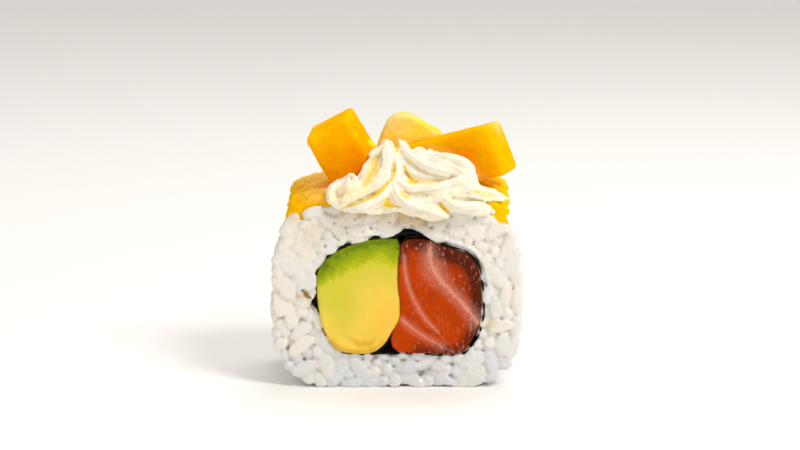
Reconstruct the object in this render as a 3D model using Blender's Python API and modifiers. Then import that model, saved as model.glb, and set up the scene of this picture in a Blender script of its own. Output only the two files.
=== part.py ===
"""Fruit uramaki: one thick slice of an inside-out sushi roll, with sliced mango and piped cream on top.

The roll lies with its axis along Y, so its cut faces look to -Y and +Y. It stands on Z = 0, with the
origin under its middle. Rice is outside, then a sheet of nori, then avocado and salmon side by side.
Three slices of mango drape over the rice. Cream is piped over them, with more mango pressed into it.
"""

import math

import bmesh
import bpy
from mathutils import Euler, Matrix, Vector, noise

MM = 0.001

# Driving sizes of the roll
ROLL_WIDTH = 45.0 * MM
ROLL_HEIGHT = 33.3 * MM
ROLL_DEPTH = 25.0 * MM
ROLL_SQUARENESS = 3.8  # power of the superellipse: 2 is an ellipse, more is squarer
PRESSED_FLAT = 0.4 * MM  # how far the underside is squashed by its own weight
GAP = 0.3 * MM  # clearance that touching pieces keep
OUTLINE_SAMPLES = 720  # points from which the roll's outline is spaced out evenly
SPLINE_SAMPLES = 8  # points between two stated points of an outline
SHARP_ANGLE = math.radians(40)  # edges that turn more than this are shaded sharp
RIM_ANGLE = math.radians(60)  # edges that turn more than this are rounded
RIM_SEGMENTS = 2
WELD = 1e-6  # points nearer than this are one
CUTTER_EXCESS = 2.0 * MM  # how far the hole's cutter reaches past the cuts

# Rice
GRAIN_SIZE = 2.9 * MM
GRAIN_RELIEF = 0.9 * MM  # depth of the crevices between grains
GRAIN_STEEPNESS = 1.9  # how soon the surface drops beside the middle of a grain
LOWEST_DIP = 0.05 * MM  # the grainy sides stay this far above the board
ON_BOARD = 0.01 * MM  # a point lower than this is pressed flat on the board
UNDERSIDE_ANGLE = math.radians(0.5)  # faces of the underside that turn less than this become one
SHOULDER_HEIGHT = 30.5 * MM  # above this the mango covers the rice and smooths it
COVERED_RELIEF = 0.2
RICE_POINTS = 92
RICE_STATIONS = 14

# Nori and what it wraps
NORI_THICKNESS = 0.4 * MM
WRAP_POINTS = 60
FILLING_POINTS = 44
NORI_RECESS = 0.3 * MM  # how far the nori's edge lies behind the rice's cut face
AVOCADO_RECESS = 0.2 * MM
SALMON_PROUD = 0.1 * MM
FILLING_RIM = 0.5 * MM  # radius of the soft cut edge

# Outlines in the plane of the cut, as X and Z in millimetres, counterclockwise seen from the front
WRAP_OUTLINE = [
    (-15.0, 18.5), (-14.6, 14.8), (-13.8, 11.2), (-12.3, 7.9), (-9.8, 6.4), (-5.0, 6.3), (0.0, 6.5),
    (5.1, 6.3), (11.1, 6.0), (13.3, 7.2), (14.9, 9.6), (15.7, 12.5), (15.9, 15.9), (15.6, 20.3),
    (14.7, 23.3), (12.3, 25.7), (8.8, 26.7), (5.0, 28.5), (1.6, 29.1), (-1.9, 28.2), (-8.5, 27.0),
    (-12.0, 25.2), (-14.7, 22.3),
]
SEAM = [(-0.7, 11.0), (0.4, 13.0), (0.6, 15.2), (0.15, 19.6), (0.2, 23.4), (0.6, 26.6)]
AVOCADO_OUTLINE = [
    (-14.6, 18.8), (-14.2, 15.0), (-13.4, 11.3), (-11.5, 7.9), (-8.7, 6.8), (-5.8, 6.8), (-3.4, 7.7),
    *SEAM, (-0.6, 27.6), (-4.8, 27.4), (-8.5, 26.4), (-11.9, 24.6), (-14.2, 22.0),
]
SALMON_OUTLINE = [
    *reversed(SEAM), (-1.2, 9.2), (-0.6, 7.3), (3.0, 6.9), (7.6, 6.8), (10.6, 6.6), (12.5, 7.6),
    (14.0, 10.3), (15.0, 12.9), (15.2, 15.8), (14.9, 20.2), (14.1, 22.8), (12.1, 24.8), (9.0, 25.7),
    (6.8, 26.6), (4.4, 27.6), (2.0, 27.4),
]

# Mango slices draped over the roll, in millimetres: reach of each end from the middle of the top along
# the roll's outline, how far that end stands off the rice, and the thickness
SLICE_TIP_SHARE = 0.72  # thickness left at the very end of a slice
SLICE_UPRIGHT = 0.45  # 1 stacks the slices square to the rice, 0 stacks them straight up
SLICE_STATIONS = 15
SLICE_EDGE = 0.8 * MM
TOP_SAMPLES = 480  # points of the outline that the slices are wrapped over
SLICES = {
    "mango_slice_front": {"left": 20.3, "right": 22.6, "lift_left": 0.0, "lift_right": 0.2, "thick": 2.7},
    "mango_slice_middle": {"left": 19.8, "right": 21.2, "lift_left": 0.7, "lift_right": 1.8, "thick": 3.0},
    "mango_slice_rear": {"left": 19.3, "right": 20.3, "lift_left": 1.4, "lift_right": 2.4, "thick": 3.6},
}

# Mango pieces standing in the cream: size, centre and radius of the edges in millimetres, turn in degrees,
# how far the top leans along the piece, and how much taller its right end is than its middle
MANGO_PIECES = {
    "mango_cube_left": {
        "size": (8.7, 8.6, 10.8), "centre": (-10.1, -1.8, 43.2), "turn": (10.0, -28.0, -9.0),
        "edge": 0.7, "skew": 0.0, "taper": 0.0,
    },
    "mango_block_right": {
        "size": (19.2, 7.6, 9.1), "centre": (10.8, 1.8, 40.75), "turn": (2.0, -15.0, -19.0),
        "edge": 0.7, "skew": -0.12, "taper": 0.03,
    },
}
PIECE_SLANT = 0.04  # how far a piece's ends lean across its width
WEDGE_OUTLINE = [
    (-3.9, 37.4), (6.0, 37.2), (8.6, 41.0), (7.7, 44.6), (4.9, 46.9), (1.2, 48.6), (-1.5, 47.6),
    (-3.2, 44.0), (-4.1, 40.4),
]
WEDGE_RIM = 0.9 * MM
WEDGE_FRONT = 5.8 * MM
WEDGE_BACK = 10.2 * MM
WEDGE_POINTS = 26
WEDGE_LEAN = math.radians(4.0)

# Cream: ropes of piped cream, each a list of X, Y, Z and radius in millimetres
CREAM_ROPES = {
    "left_curl": [
        (-2.1, -3.0, 44.6, 0.7), (-1.8, -5.0, 42.9, 1.5), (-2.4, -7.0, 41.1, 1.8), (-3.5, -9.0, 39.2, 1.9),
        (-5.5, -11.2, 37.4, 1.9), (-8.4, -12.6, 35.6, 1.9), (-10.4, -12.6, 34.8, 1.8),
        (-11.5, -11.6, 35.4, 1.8), (-11.7, -10.4, 36.6, 1.6), (-10.9, -9.6, 37.1, 1.6),
        (-9.6, -9.0, 37.7, 1.5), (-8.7, -8.8, 38.3, 1.2), (-8.2, -8.8, 38.9, 0.6),
    ],
    "under_curl": [
        (-1.8, -6.0, 41.6, 1.3), (-1.5, -10.0, 38.9, 1.5), (-2.6, -12.6, 36.5, 1.6),
        (-4.4, -13.2, 34.8, 1.6), (-6.9, -13.4, 33.9, 1.4), (-9.3, -13.2, 33.4, 0.9),
        (-10.3, -13.0, 33.3, 0.4),
    ],
    "centre_fall": [
        (-0.3, -4.0, 43.1, 1.4), (-0.4, -7.0, 40.6, 1.5), (-0.9, -10.5, 38.3, 1.6),
        (-0.2, -12.6, 36.0, 1.7), (1.5, -13.4, 34.2, 1.7), (4.1, -13.6, 32.9, 1.5),
        (7.0, -13.5, 32.5, 1.3), (9.4, -13.2, 32.0, 0.5),
    ],
    "peak_band": [
        (0.6, -2.0, 45.2, 0.4), (1.2, -3.0, 43.7, 1.1), (2.3, -5.0, 41.4, 1.5), (4.1, -7.5, 39.9, 1.7),
        (6.7, -9.0, 39.1, 1.8), (9.6, -9.0, 38.9, 1.7), (12.4, -8.4, 39.0, 1.4),
    ],
    "folded_lobe": [
        (0.0, -9.0, 38.8, 1.4), (1.9, -11.2, 37.2, 1.6), (5.0, -12.0, 36.5, 1.7), (8.3, -12.0, 36.7, 1.8),
        (11.4, -11.0, 37.4, 1.9), (13.2, -9.5, 38.9, 2.0), (12.1, -8.0, 40.6, 1.8),
        (9.9, -7.0, 41.4, 1.7), (7.7, -6.0, 41.8, 1.5), (6.0, -4.2, 43.0, 0.9), (5.6, -3.6, 43.6, 0.4),
    ],
    "right_tail": [
        (9.9, -9.0, 36.9, 1.4), (13.2, -9.6, 36.6, 1.3), (16.3, -9.6, 36.4, 0.9), (19.0, -9.6, 36.5, 0.4),
    ],
    "lower_right": [
        (4.8, -12.6, 35.1, 1.5), (7.7, -13.1, 35.2, 1.5), (9.6, -13.3, 34.0, 1.4),
        (12.3, -13.2, 33.8, 1.4), (15.1, -13.0, 33.2, 1.1), (17.5, -12.8, 32.6, 0.5),
    ],
    "left_wall": [
        (-4.3, -3.6, 43.0, 1.4), (-4.9, -6.0, 40.8, 1.6), (-5.8, -8.5, 38.9, 1.5), (-6.6, -8.8, 37.4, 1.2),
    ],
    "rear_fall": [
        (-1.6, -1.5, 43.4, 1.4), (-2.4, 1.4, 41.6, 1.7), (-3.6, 4.4, 39.2, 1.7), (-5.0, 7.4, 37.9, 1.6),
        (-7.8, 9.4, 37.6, 1.4), (-10.4, 9.6, 37.6, 0.6),
    ],
    "rear_band": [
        (3.4, -2.6, 42.4, 1.6), (5.4, 0.4, 41.0, 1.8), (8.2, 3.2, 38.6, 1.7), (10.6, 6.8, 37.8, 1.6),
        (9.2, 9.8, 37.6, 1.5), (4.4, 11.0, 37.4, 1.3), (0.4, 10.8, 37.4, 0.6),
    ],
}
CREAM_MOUNDS = [
    {"centre": (-2.0, -3.2, 38.6), "radii": (4.6, 6.0, 4.8)},
    {"centre": (5.8, -3.6, 37.0), "radii": (8.8, 7.4, 4.0)},
    {"centre": (-5.6, -5.6, 36.2), "radii": (6.0, 5.6, 2.4)},
    {"centre": (1.6, 3.8, 36.4), "radii": (8.8, 6.0, 3.2)},
]
ROPE_SAMPLES = 5  # points between two stated points of a rope
MOUND_SEGMENTS = 32
MOUND_RINGS = 16
SEAT_POINTS = 64
CREAM_VOXEL = 0.5 * MM
CREAM_TRIANGLES = 2000

# Colours as linear red, green and blue, with the roughness of each surface
LOOKS = {
    "rice": ((0.80, 0.76, 0.66), 0.45),
    "nori": ((0.006, 0.007, 0.004), 0.50),
    "avocado": ((0.78, 0.62, 0.09), 0.50),
    "salmon": ((0.53, 0.06, 0.012), 0.30),
    "mango": ((0.95, 0.38, 0.004), 0.35),
    "mango_pale": ((0.90, 0.55, 0.10), 0.35),
    "cream": ((0.94, 0.86, 0.62), 0.45),
}


def clear_scene():
    """Removes every object that the scene starts with."""
    for obj in list(bpy.data.objects):
        bpy.data.objects.remove(obj)


def new_collection(name):
    collection = bpy.data.collections.new(name)
    bpy.context.scene.collection.children.link(collection)
    return collection


def material(name):
    """The Principled material of this name, made when it is first asked for."""
    if name in bpy.data.materials:
        return bpy.data.materials[name]
    colour, roughness = LOOKS[name]
    made = bpy.data.materials.new(name)
    made.use_nodes = True
    shader = made.node_tree.nodes["Principled BSDF"]
    shader.inputs["Base Color"].default_value = (*colour, 1.0)
    shader.inputs["Roughness"].default_value = roughness
    shader.inputs["Metallic"].default_value = 0.0
    return made


def add_object(name, mesh, collection, look=None):
    """Links a new object for the mesh, and gives it its material."""
    obj = bpy.data.objects.new(name, mesh)
    collection.objects.link(obj)
    if look:
        mesh.materials.clear()
        mesh.materials.append(material(look))
    return obj


def finish_mesh(mesh):
    """Smooth shading, but for the edges that are truly sharp."""
    mesh.shade_smooth()
    mesh.set_sharp_from_angle(angle=SHARP_ANGLE)


def mesh_from(build, name):
    """A mesh from a bmesh, which it frees."""
    mesh = bpy.data.meshes.new(name)
    build.normal_update()
    build.to_mesh(mesh)
    build.free()
    return mesh


def baked_mesh(obj):
    """The mesh that the object evaluates to, with its modifiers, in its own space."""
    graph = bpy.context.evaluated_depsgraph_get()
    graph.update()
    return bpy.data.meshes.new_from_object(obj.evaluated_get(graph))


def drop_curve(obj):
    """Removes a curve object once its mesh has been taken."""
    bpy.data.objects.remove(obj)


# Outlines

def spline_point(before, start, end, after, share):
    """The point of a Catmull-Rom spline at this share of the way from start to end."""
    square = share * share
    cube = square * share
    return 0.5 * (
        2.0 * start
        + (end - before) * share
        + (2.0 * before - 5.0 * start + 4.0 * end - after) * square
        + (3.0 * start - before - 3.0 * end + after) * cube
    )


def closed_spline(points, samples):
    """A closed smooth line through the points, with this many samples between each two."""
    count = len(points)
    line = []
    for index in range(count):
        corners = [points[(index + step) % count] for step in (-1, 0, 1, 2)]
        for sample in range(samples):
            line.append(spline_point(*corners, sample / samples))
    return line


def open_spline(points, samples):
    """An open smooth line through the points."""
    line = []
    for index in range(len(points) - 1):
        before = points[max(index - 1, 0)]
        after = points[min(index + 2, len(points) - 1)]
        for sample in range(samples):
            line.append(spline_point(before, points[index], points[index + 1], after, sample / samples))
    line.append(points[-1].copy())
    return line


def evenly(line, count):
    """The closed line as this many points, the same distance apart along it."""
    steps = [(line[(i + 1) % len(line)] - line[i]).length for i in range(len(line))]
    spacing = sum(steps) / count
    points = []
    travelled = 0.0
    target = 0.0
    for index, step in enumerate(steps):
        while target < travelled + step and len(points) < count:
            share = (target - travelled) / step
            points.append(line[index].lerp(line[(index + 1) % len(line)], share))
            target += spacing
        travelled += step
    return points


def grown(line, distance):
    """The closed counterclockwise line moved outwards by the distance."""
    moved = []
    for index, point in enumerate(line):
        along = line[(index + 1) % len(line)] - line[index - 1]
        outward = Vector((along.y, -along.x)).normalized()
        moved.append(point + outward * distance)
    return moved


def outline_from(points_mm, count, grow=0.0):
    """A smooth outline in metres through points in millimetres."""
    points = [Vector(point) * MM for point in points_mm]
    return grown(evenly(closed_spline(points, SPLINE_SAMPLES), count), grow)


def roll_outline(count, grow=0.0):
    """The roll's outer outline: a superellipse, pressed flat at Z = 0."""
    half_width = ROLL_WIDTH / 2
    half_height = (ROLL_HEIGHT + PRESSED_FLAT) / 2
    middle = ROLL_HEIGHT - half_height
    power = 2.0 / ROLL_SQUARENESS
    line = []
    for step in range(OUTLINE_SAMPLES):
        angle = 2.0 * math.pi * step / OUTLINE_SAMPLES
        across = math.copysign(abs(math.cos(angle)) ** power, math.cos(angle))
        upward = math.copysign(abs(math.sin(angle)) ** power, math.sin(angle))
        line.append(Vector((half_width * across, middle + half_height * upward)))
    moved = grown(evenly(line, count), grow)
    return [Vector((point.x, max(point.y, -grow))) for point in moved]


def upright_extrusion(name, outlines, front, back, collection):
    """The closed outlines, given as X and Z, filled and extruded along Y. Inner outlines are holes."""
    curve = bpy.data.curves.new(name, "CURVE")
    curve.dimensions = "2D"
    curve.fill_mode = "BOTH"
    curve.extrude = (back - front) / 2
    for outline in outlines:
        spline = curve.splines.new("POLY")
        spline.points.add(len(outline) - 1)
        for slot, point in zip(spline.points, outline):
            slot.co = (point.x, point.y, 0.0, 1.0)
        spline.use_cyclic_u = True
    holder = bpy.data.objects.new(name + "_curve", curve)
    collection.objects.link(holder)
    mesh = baked_mesh(holder)
    drop_curve(holder)
    build = bmesh.new()
    build.from_mesh(mesh)
    bmesh.ops.remove_doubles(build, verts=build.verts, dist=WELD)
    stand_up = Matrix.Rotation(math.radians(90), 4, "X")
    build.transform(Matrix.Translation((0.0, (front + back) / 2, 0.0)) @ stand_up)
    bmesh.ops.recalc_face_normals(build, faces=build.faces)
    bpy.data.meshes.remove(mesh)
    return mesh_from(build, name)


def round_edges(build, radius):
    """Rounds every edge of a plain block."""
    bmesh.ops.bevel(
        build, geom=build.edges[:], offset=radius, segments=RIM_SEGMENTS, profile=0.5, affect="EDGES"
    )


def soften_rims(obj, radius):
    """Rounds the sharp rims of an extruded piece."""
    bevel = obj.modifiers.new("soft_rim", "BEVEL")
    bevel.width = radius
    bevel.segments = RIM_SEGMENTS
    bevel.limit_method = "ANGLE"
    bevel.angle_limit = RIM_ANGLE


def cut_away(obj, cutter):
    """Takes the cutter's shape out of the object."""
    boolean = obj.modifiers.new("cut", "BOOLEAN")
    boolean.operation = "DIFFERENCE"
    boolean.solver = "EXACT"
    boolean.object = cutter


def as_cutter(obj):
    obj.hide_render = True
    obj.display_type = "WIRE"
    return obj


# Rice, nori and fillings

def grain_dip(point):
    """How far the surface drops here between the grains."""
    nearest = noise.voronoi(point / GRAIN_SIZE)[0][0]
    return GRAIN_RELIEF * min(1.0, nearest * nearest * GRAIN_STEEPNESS)


def add_rice(parts, cutters):
    """The rice: a squarish tube with a grainy outside and flat cut faces."""
    front = -ROLL_DEPTH / 2
    back = ROLL_DEPTH / 2
    mesh = upright_extrusion("rice", [roll_outline(RICE_POINTS)], front, back, parts)
    build = bmesh.new()
    build.from_mesh(mesh)
    for station in range(1, RICE_STATIONS):
        place = front + ROLL_DEPTH * station / RICE_STATIONS
        everything = build.verts[:] + build.edges[:] + build.faces[:]
        bmesh.ops.bisect_plane(build, geom=everything, plane_co=(0.0, place, 0.0), plane_no=(0.0, 1.0, 0.0))
    middle = ROLL_HEIGHT / 2
    for vert in build.verts:
        if vert.co.z < ON_BOARD:
            vert.co.z = 0.0
            continue
        inward = Vector((-vert.co.x, 0.0, middle - vert.co.z)).normalized()
        pressed = min(1.0, vert.co.z / GRAIN_SIZE)
        covered = COVERED_RELIEF if vert.co.z > SHOULDER_HEIGHT else 1.0
        vert.co += inward * grain_dip(vert.co) * pressed * covered
        vert.co.z = max(vert.co.z, LOWEST_DIP)
    under = [face for face in build.faces if all(vert.co.z < ON_BOARD for vert in face.verts)]
    rim = list({edge for face in under for edge in face.edges})
    corners = list({vert for face in under for vert in face.verts})
    bmesh.ops.dissolve_limit(build, angle_limit=UNDERSIDE_ANGLE, verts=corners, edges=rim)
    build.to_mesh(mesh)
    build.free()
    finish_mesh(mesh)
    rice = add_object("rice", mesh, parts, "rice")
    hole = outline_from(WRAP_OUTLINE, WRAP_POINTS, NORI_THICKNESS / 2 + GAP)
    hole_mesh = upright_extrusion("rice_hole", [hole], front - CUTTER_EXCESS, back + CUTTER_EXCESS, cutters)
    cut_away(rice, as_cutter(add_object("rice_hole", hole_mesh, cutters)))
    return rice


def add_nori(parts):
    """The sheet of nori between the rice and the fillings."""
    outer = outline_from(WRAP_OUTLINE, WRAP_POINTS, NORI_THICKNESS / 2)
    inner = outline_from(WRAP_OUTLINE, WRAP_POINTS, -NORI_THICKNESS / 2)
    front = -ROLL_DEPTH / 2 + NORI_RECESS
    mesh = upright_extrusion("nori", [outer, inner], front, -front, parts)
    finish_mesh(mesh)
    return add_object("nori", mesh, parts, "nori")


def add_filling(name, points_mm, proud, parts):
    """A strip of filling that runs right through the roll, standing proud of the cut by this much."""
    front = -ROLL_DEPTH / 2 - proud
    mesh = upright_extrusion(name, [outline_from(points_mm, FILLING_POINTS, -GAP / 2)], front, -front, parts)
    finish_mesh(mesh)
    filling = add_object(name, mesh, parts, name)
    soften_rims(filling, FILLING_RIM)
    return filling


# Mango

def top_line():
    """The top of the roll's outline as points and outward normals, by distance from the middle of the top."""
    line = roll_outline(TOP_SAMPLES)
    start = max(range(TOP_SAMPLES), key=lambda index: line[index].y - abs(line[index].x))
    half = TOP_SAMPLES // 3
    table = []
    for step in range(-half, half + 1):
        here = line[(start - step) % TOP_SAMPLES]
        ahead = line[(start - step - 1) % TOP_SAMPLES]
        behind = line[(start - step + 1) % TOP_SAMPLES]
        along = (ahead - behind).normalized()
        table.append((here, Vector((-along.y, along.x))))
    middle = half
    distances = [0.0] * len(table)
    for index in range(middle + 1, len(table)):
        distances[index] = distances[index - 1] + (table[index][0] - table[index - 1][0]).length
    for index in range(middle - 1, -1, -1):
        distances[index] = distances[index + 1] - (table[index][0] - table[index + 1][0]).length
    return distances, table


def on_top_line(lookup, distance):
    """The point and outward normal on the roll at this distance from the middle of its top."""
    distances, table = lookup
    index = next(i for i in range(1, len(distances)) if distances[i] >= distance)
    share = (distance - distances[index - 1]) / (distances[index] - distances[index - 1])
    point = table[index - 1][0].lerp(table[index][0], share)
    normal = table[index - 1][1].lerp(table[index][1], share).normalized()
    return point, normal


def draped_slice(name, slot, plan, collection, grow=0.0):
    """A slab of mango wrapped over the top of the roll, thinner and rounder towards its two ends."""
    room = ROLL_DEPTH / len(SLICES)
    width = room - GAP + 2 * grow
    middle_y = -ROLL_DEPTH / 2 + room * (slot + 0.5)
    left = -plan["left"] * MM - grow
    right = plan["right"] * MM + grow
    thick = plan["thick"] * MM
    length = right - left
    edge = SLICE_EDGE + grow
    build = bmesh.new()
    size = Matrix.Diagonal((length, width, thick + 2 * grow, 1.0))
    place = Matrix.Translation(((left + right) / 2, 0.0, thick / 2))
    bmesh.ops.create_cube(build, size=1.0, matrix=place @ size)
    round_edges(build, edge)
    inner = length - 4 * edge
    for station in range(SLICE_STATIONS + 1):
        cut = left + 2 * edge + inner * station / SLICE_STATIONS
        everything = build.verts[:] + build.edges[:] + build.faces[:]
        bmesh.ops.bisect_plane(build, geom=everything, plane_co=(cut, 0.0, 0.0), plane_no=(1.0, 0.0, 0.0))
    lookup = top_line()
    for vert in build.verts:
        along, across, height = vert.co
        reach = along / right if along > 0 else along / left
        lift = plan["lift_right"] if along > 0 else plan["lift_left"]
        thin = 1.0 - (1.0 - SLICE_TIP_SHARE) * reach**6
        point, normal = on_top_line(lookup, along)
        stacked = Vector((normal.x * SLICE_UPRIGHT, normal.y)).normalized()
        raised = height * thin + lift * MM * reach**4
        spot = point + normal * GAP + stacked * raised
        vert.co = (spot.x, middle_y + across, spot.y)
    bmesh.ops.recalc_face_normals(build, faces=build.faces)
    mesh = mesh_from(build, name)
    finish_mesh(mesh)
    return add_object(name, mesh, collection, "mango_pale")


def mango_piece(name, plan, collection, grow=0.0):
    """A hand-cut block of mango: six faces that are a little out of square, with soft edges."""
    build = bmesh.new()
    size = [side * MM + 2 * grow for side in plan["size"]]
    bmesh.ops.create_cube(build, size=1.0, matrix=Matrix.Diagonal((*size, 1.0)))
    skew = plan["skew"]
    for vert in build.verts:
        vert.co.x += skew * vert.co.z + PIECE_SLANT * vert.co.y
        vert.co.z *= 1.0 + plan["taper"] * math.copysign(1.0, vert.co.x)
    edge = plan["edge"] * MM + grow
    round_edges(build, edge)
    turn = Euler([math.radians(angle) for angle in plan["turn"]], "XYZ").to_matrix().to_4x4()
    mesh = mesh_from(build, name)
    finish_mesh(mesh)
    piece = add_object(name, mesh, collection, "mango")
    piece.matrix_world = Matrix.Translation(Vector(plan["centre"]) * MM) @ turn
    return piece


def mango_wedge(name, collection, grow=0.0):
    """The round end of a mango cheek, standing behind the cream."""
    outline = outline_from(WEDGE_OUTLINE, WEDGE_POINTS, grow)
    mesh = upright_extrusion(name, [outline], WEDGE_FRONT - grow, WEDGE_BACK + grow, collection)
    finish_mesh(mesh)
    wedge = add_object(name, mesh, collection, "mango_pale")
    soften_rims(wedge, WEDGE_RIM + grow)
    foot = Vector((0.0, WEDGE_BACK, WEDGE_OUTLINE[0][1] * MM))
    lean = Matrix.Rotation(WEDGE_LEAN, 4, "X")
    wedge.matrix_world = Matrix.Translation(foot) @ lean @ Matrix.Translation(-foot)
    return wedge


# Cream

def rope_mesh(name, points_mm, collection):
    """A round rope of cream along a smooth line, as thick as each point says."""
    points = [Vector((*point[:3], point[3])) for point in points_mm]
    line = open_spline(points, ROPE_SAMPLES)
    curve = bpy.data.curves.new(name, "CURVE")
    curve.dimensions = "3D"
    curve.bevel_depth = MM
    curve.bevel_resolution = 2
    curve.use_fill_caps = True
    spline = curve.splines.new("POLY")
    spline.points.add(len(line) - 1)
    for slot, point in zip(spline.points, line):
        slot.co = (point.x * MM, point.y * MM, point.z * MM, 1.0)
        slot.radius = point.w
    holder = bpy.data.objects.new(name + "_curve", curve)
    collection.objects.link(holder)
    mesh = baked_mesh(holder)
    drop_curve(holder)
    return mesh


def largest_body(mesh):
    """The mesh without the small scraps that lie apart from its main body."""
    build = bmesh.new()
    build.from_mesh(mesh)
    bodies = []
    unseen = set(build.verts)
    while unseen:
        body = set()
        front = [unseen.pop()]
        while front:
            vert = front.pop()
            body.add(vert)
            near = {edge.other_vert(vert) for edge in vert.link_edges} & unseen
            unseen -= near
            front.extend(near)
        bodies.append(body)
    main_body = max(bodies, key=len)
    scraps = [vert for vert in build.verts if vert not in main_body]
    bmesh.ops.delete(build, geom=scraps, context="VERTS")
    build.to_mesh(mesh)
    build.free()
    return mesh


def cream_body():
    """All the ropes and mounds in one bmesh, still overlapping."""
    build = bmesh.new()
    for name, points in CREAM_ROPES.items():
        mesh = rope_mesh(name, points, bpy.context.scene.collection)
        build.from_mesh(mesh)
        bpy.data.meshes.remove(mesh)
    for mound in CREAM_MOUNDS:
        place = Matrix.Translation(Vector(mound["centre"]) * MM)
        size = Matrix.Diagonal((*[radius * MM for radius in mound["radii"]], 1.0))
        bmesh.ops.create_uvsphere(
            build, u_segments=MOUND_SEGMENTS, v_segments=MOUND_RINGS, radius=1.0, matrix=place @ size
        )
    return build


def add_cream(rooms, parts, cutters):
    """The cream as one body, seated on the rice and pressed round all the mango."""
    loose = add_object("cream_loose", mesh_from(cream_body(), "cream_loose"), cutters)
    remesh = loose.modifiers.new("one_body", "REMESH")
    remesh.mode = "VOXEL"
    remesh.voxel_size = CREAM_VOXEL
    smooth = loose.modifiers.new("soft", "SMOOTH")
    smooth.factor = 0.5
    smooth.iterations = 1
    dense = baked_mesh(loose)
    bpy.data.objects.remove(loose)
    thinned = add_object("cream_thinned", dense, cutters)
    decimate = thinned.modifiers.new("fewer", "DECIMATE")
    decimate.ratio = CREAM_TRIANGLES / (2 * len(dense.polygons))
    mesh = baked_mesh(thinned)
    bpy.data.objects.remove(thinned)
    uncut = add_object("cream_uncut", mesh, cutters)
    seat = upright_extrusion(
        "cream_seat", [roll_outline(SEAT_POINTS, GAP)], -ROLL_DEPTH / 2 - GAP, ROLL_DEPTH / 2 + GAP, cutters
    )
    cut_away(uncut, as_cutter(add_object("cream_seat", seat, cutters)))
    for room in rooms:
        cut_away(uncut, room)
    pressed = largest_body(baked_mesh(uncut))
    bpy.data.objects.remove(uncut)
    finish_mesh(pressed)
    return add_object("cream", pressed, parts, "cream")


def main():
    clear_scene()
    parts = new_collection("fruit_uramaki")
    cutters = new_collection("cutters")
    add_rice(parts, cutters)
    add_nori(parts)
    add_filling("avocado", AVOCADO_OUTLINE, -AVOCADO_RECESS, parts)
    add_filling("salmon", SALMON_OUTLINE, SALMON_PROUD, parts)
    rooms = []
    for slot, (name, plan) in enumerate(SLICES.items()):
        draped_slice(name, slot, plan, parts)
        rooms.append(as_cutter(draped_slice(name + "_room", slot, plan, cutters, GAP)))
    slice_rooms = list(rooms)
    for name, plan in MANGO_PIECES.items():
        piece = mango_piece(name, plan, parts)
        for room in slice_rooms:
            cut_away(piece, room)
        rooms.append(as_cutter(mango_piece(name + "_room", plan, cutters, GAP)))
    wedge = mango_wedge("mango_wedge_rear", parts)
    for room in rooms:
        cut_away(wedge, room)
    rooms.append(as_cutter(mango_wedge("mango_wedge_rear_room", cutters, GAP)))
    add_cream(rooms, parts, cutters)


main()
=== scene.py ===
"""Fruit uramaki: the looks of one thick slice of an inside-out roll, with mango and piped cream on top.

The roll's axis lies along Y and its front cut faces -Y. It stands on Z = 0. Every piece is modelled in
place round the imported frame, in metres.
"""

import math
from contextlib import contextmanager

import bpy
import numpy as np
from bpy.props import FloatProperty, FloatVectorProperty, IntProperty, PointerProperty
from bpy.types import Operator, Panel, PropertyGroup
from mathutils import Matrix, Vector
from mathutils.kdtree import KDTree


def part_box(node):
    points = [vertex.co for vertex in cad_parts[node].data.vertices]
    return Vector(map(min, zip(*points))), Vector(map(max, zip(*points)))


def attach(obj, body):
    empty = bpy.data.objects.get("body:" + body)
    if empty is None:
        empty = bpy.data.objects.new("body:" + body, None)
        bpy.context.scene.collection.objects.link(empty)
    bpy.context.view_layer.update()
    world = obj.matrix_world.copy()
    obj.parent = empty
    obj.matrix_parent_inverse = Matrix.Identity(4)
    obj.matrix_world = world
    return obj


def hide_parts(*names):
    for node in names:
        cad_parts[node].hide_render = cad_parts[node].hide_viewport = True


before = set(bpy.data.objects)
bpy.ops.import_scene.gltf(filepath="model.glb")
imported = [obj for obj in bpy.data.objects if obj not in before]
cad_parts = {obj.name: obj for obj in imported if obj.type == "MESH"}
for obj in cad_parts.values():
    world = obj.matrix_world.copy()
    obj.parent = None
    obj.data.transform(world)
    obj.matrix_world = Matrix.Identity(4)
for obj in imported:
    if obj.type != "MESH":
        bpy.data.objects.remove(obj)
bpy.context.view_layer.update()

bl_info = {
    "name": "Fruit uramaki",
    "version": (1, 0, 0),
    "blender": (4, 5, 0),
    "location": "3D View > Sidebar > Uramaki",
    "description": "Models the rice, fillings, mango and cream of one uramaki round its packed frame",
    "category": "Object",
}

MM = 0.001
RICE_LOW, RICE_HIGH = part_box("rice")

# Middle of the fillings, as X and Z, which the ring of rice surrounds
HEART = (0.4 * MM, 16.6 * MM)

# The camera: it looks along +Y, tilted down, at a point on the front cut
VIEW_TARGET = Vector((0.46, -12.5, 30.56)) * MM
VIEW_DISTANCE = 405 * MM
VIEW_DROP = math.radians(10)
VIEW_FORWARD = Vector((0.0, math.cos(VIEW_DROP), -math.sin(VIEW_DROP)))
VIEW_UP = Vector((0.0, math.sin(VIEW_DROP), math.cos(VIEW_DROP)))
VIEW_RIGHT = Vector((1.0, 0.0, 0.0))
VIEW_EYE = VIEW_TARGET - VIEW_FORWARD * VIEW_DISTANCE
LENS, SENSOR_WIDTH = 100, 36  # millimetres
VIEW_WIDTH, VIEW_HEIGHT = 800, 450  # pixels

# The width of one pixel at the distance of the view's target. The cream's strands and folds, and a hazy line
# on the mango, are stated in such pixels, as they show from the front.
VIEW_PIXEL = VIEW_DISTANCE * SENSOR_WIDTH / LENS / VIEW_WIDTH

# Sockets of the Mix node in its colour mode
FACTOR, FIRST, SECOND, MIXED = 0, 6, 7, 2


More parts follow.
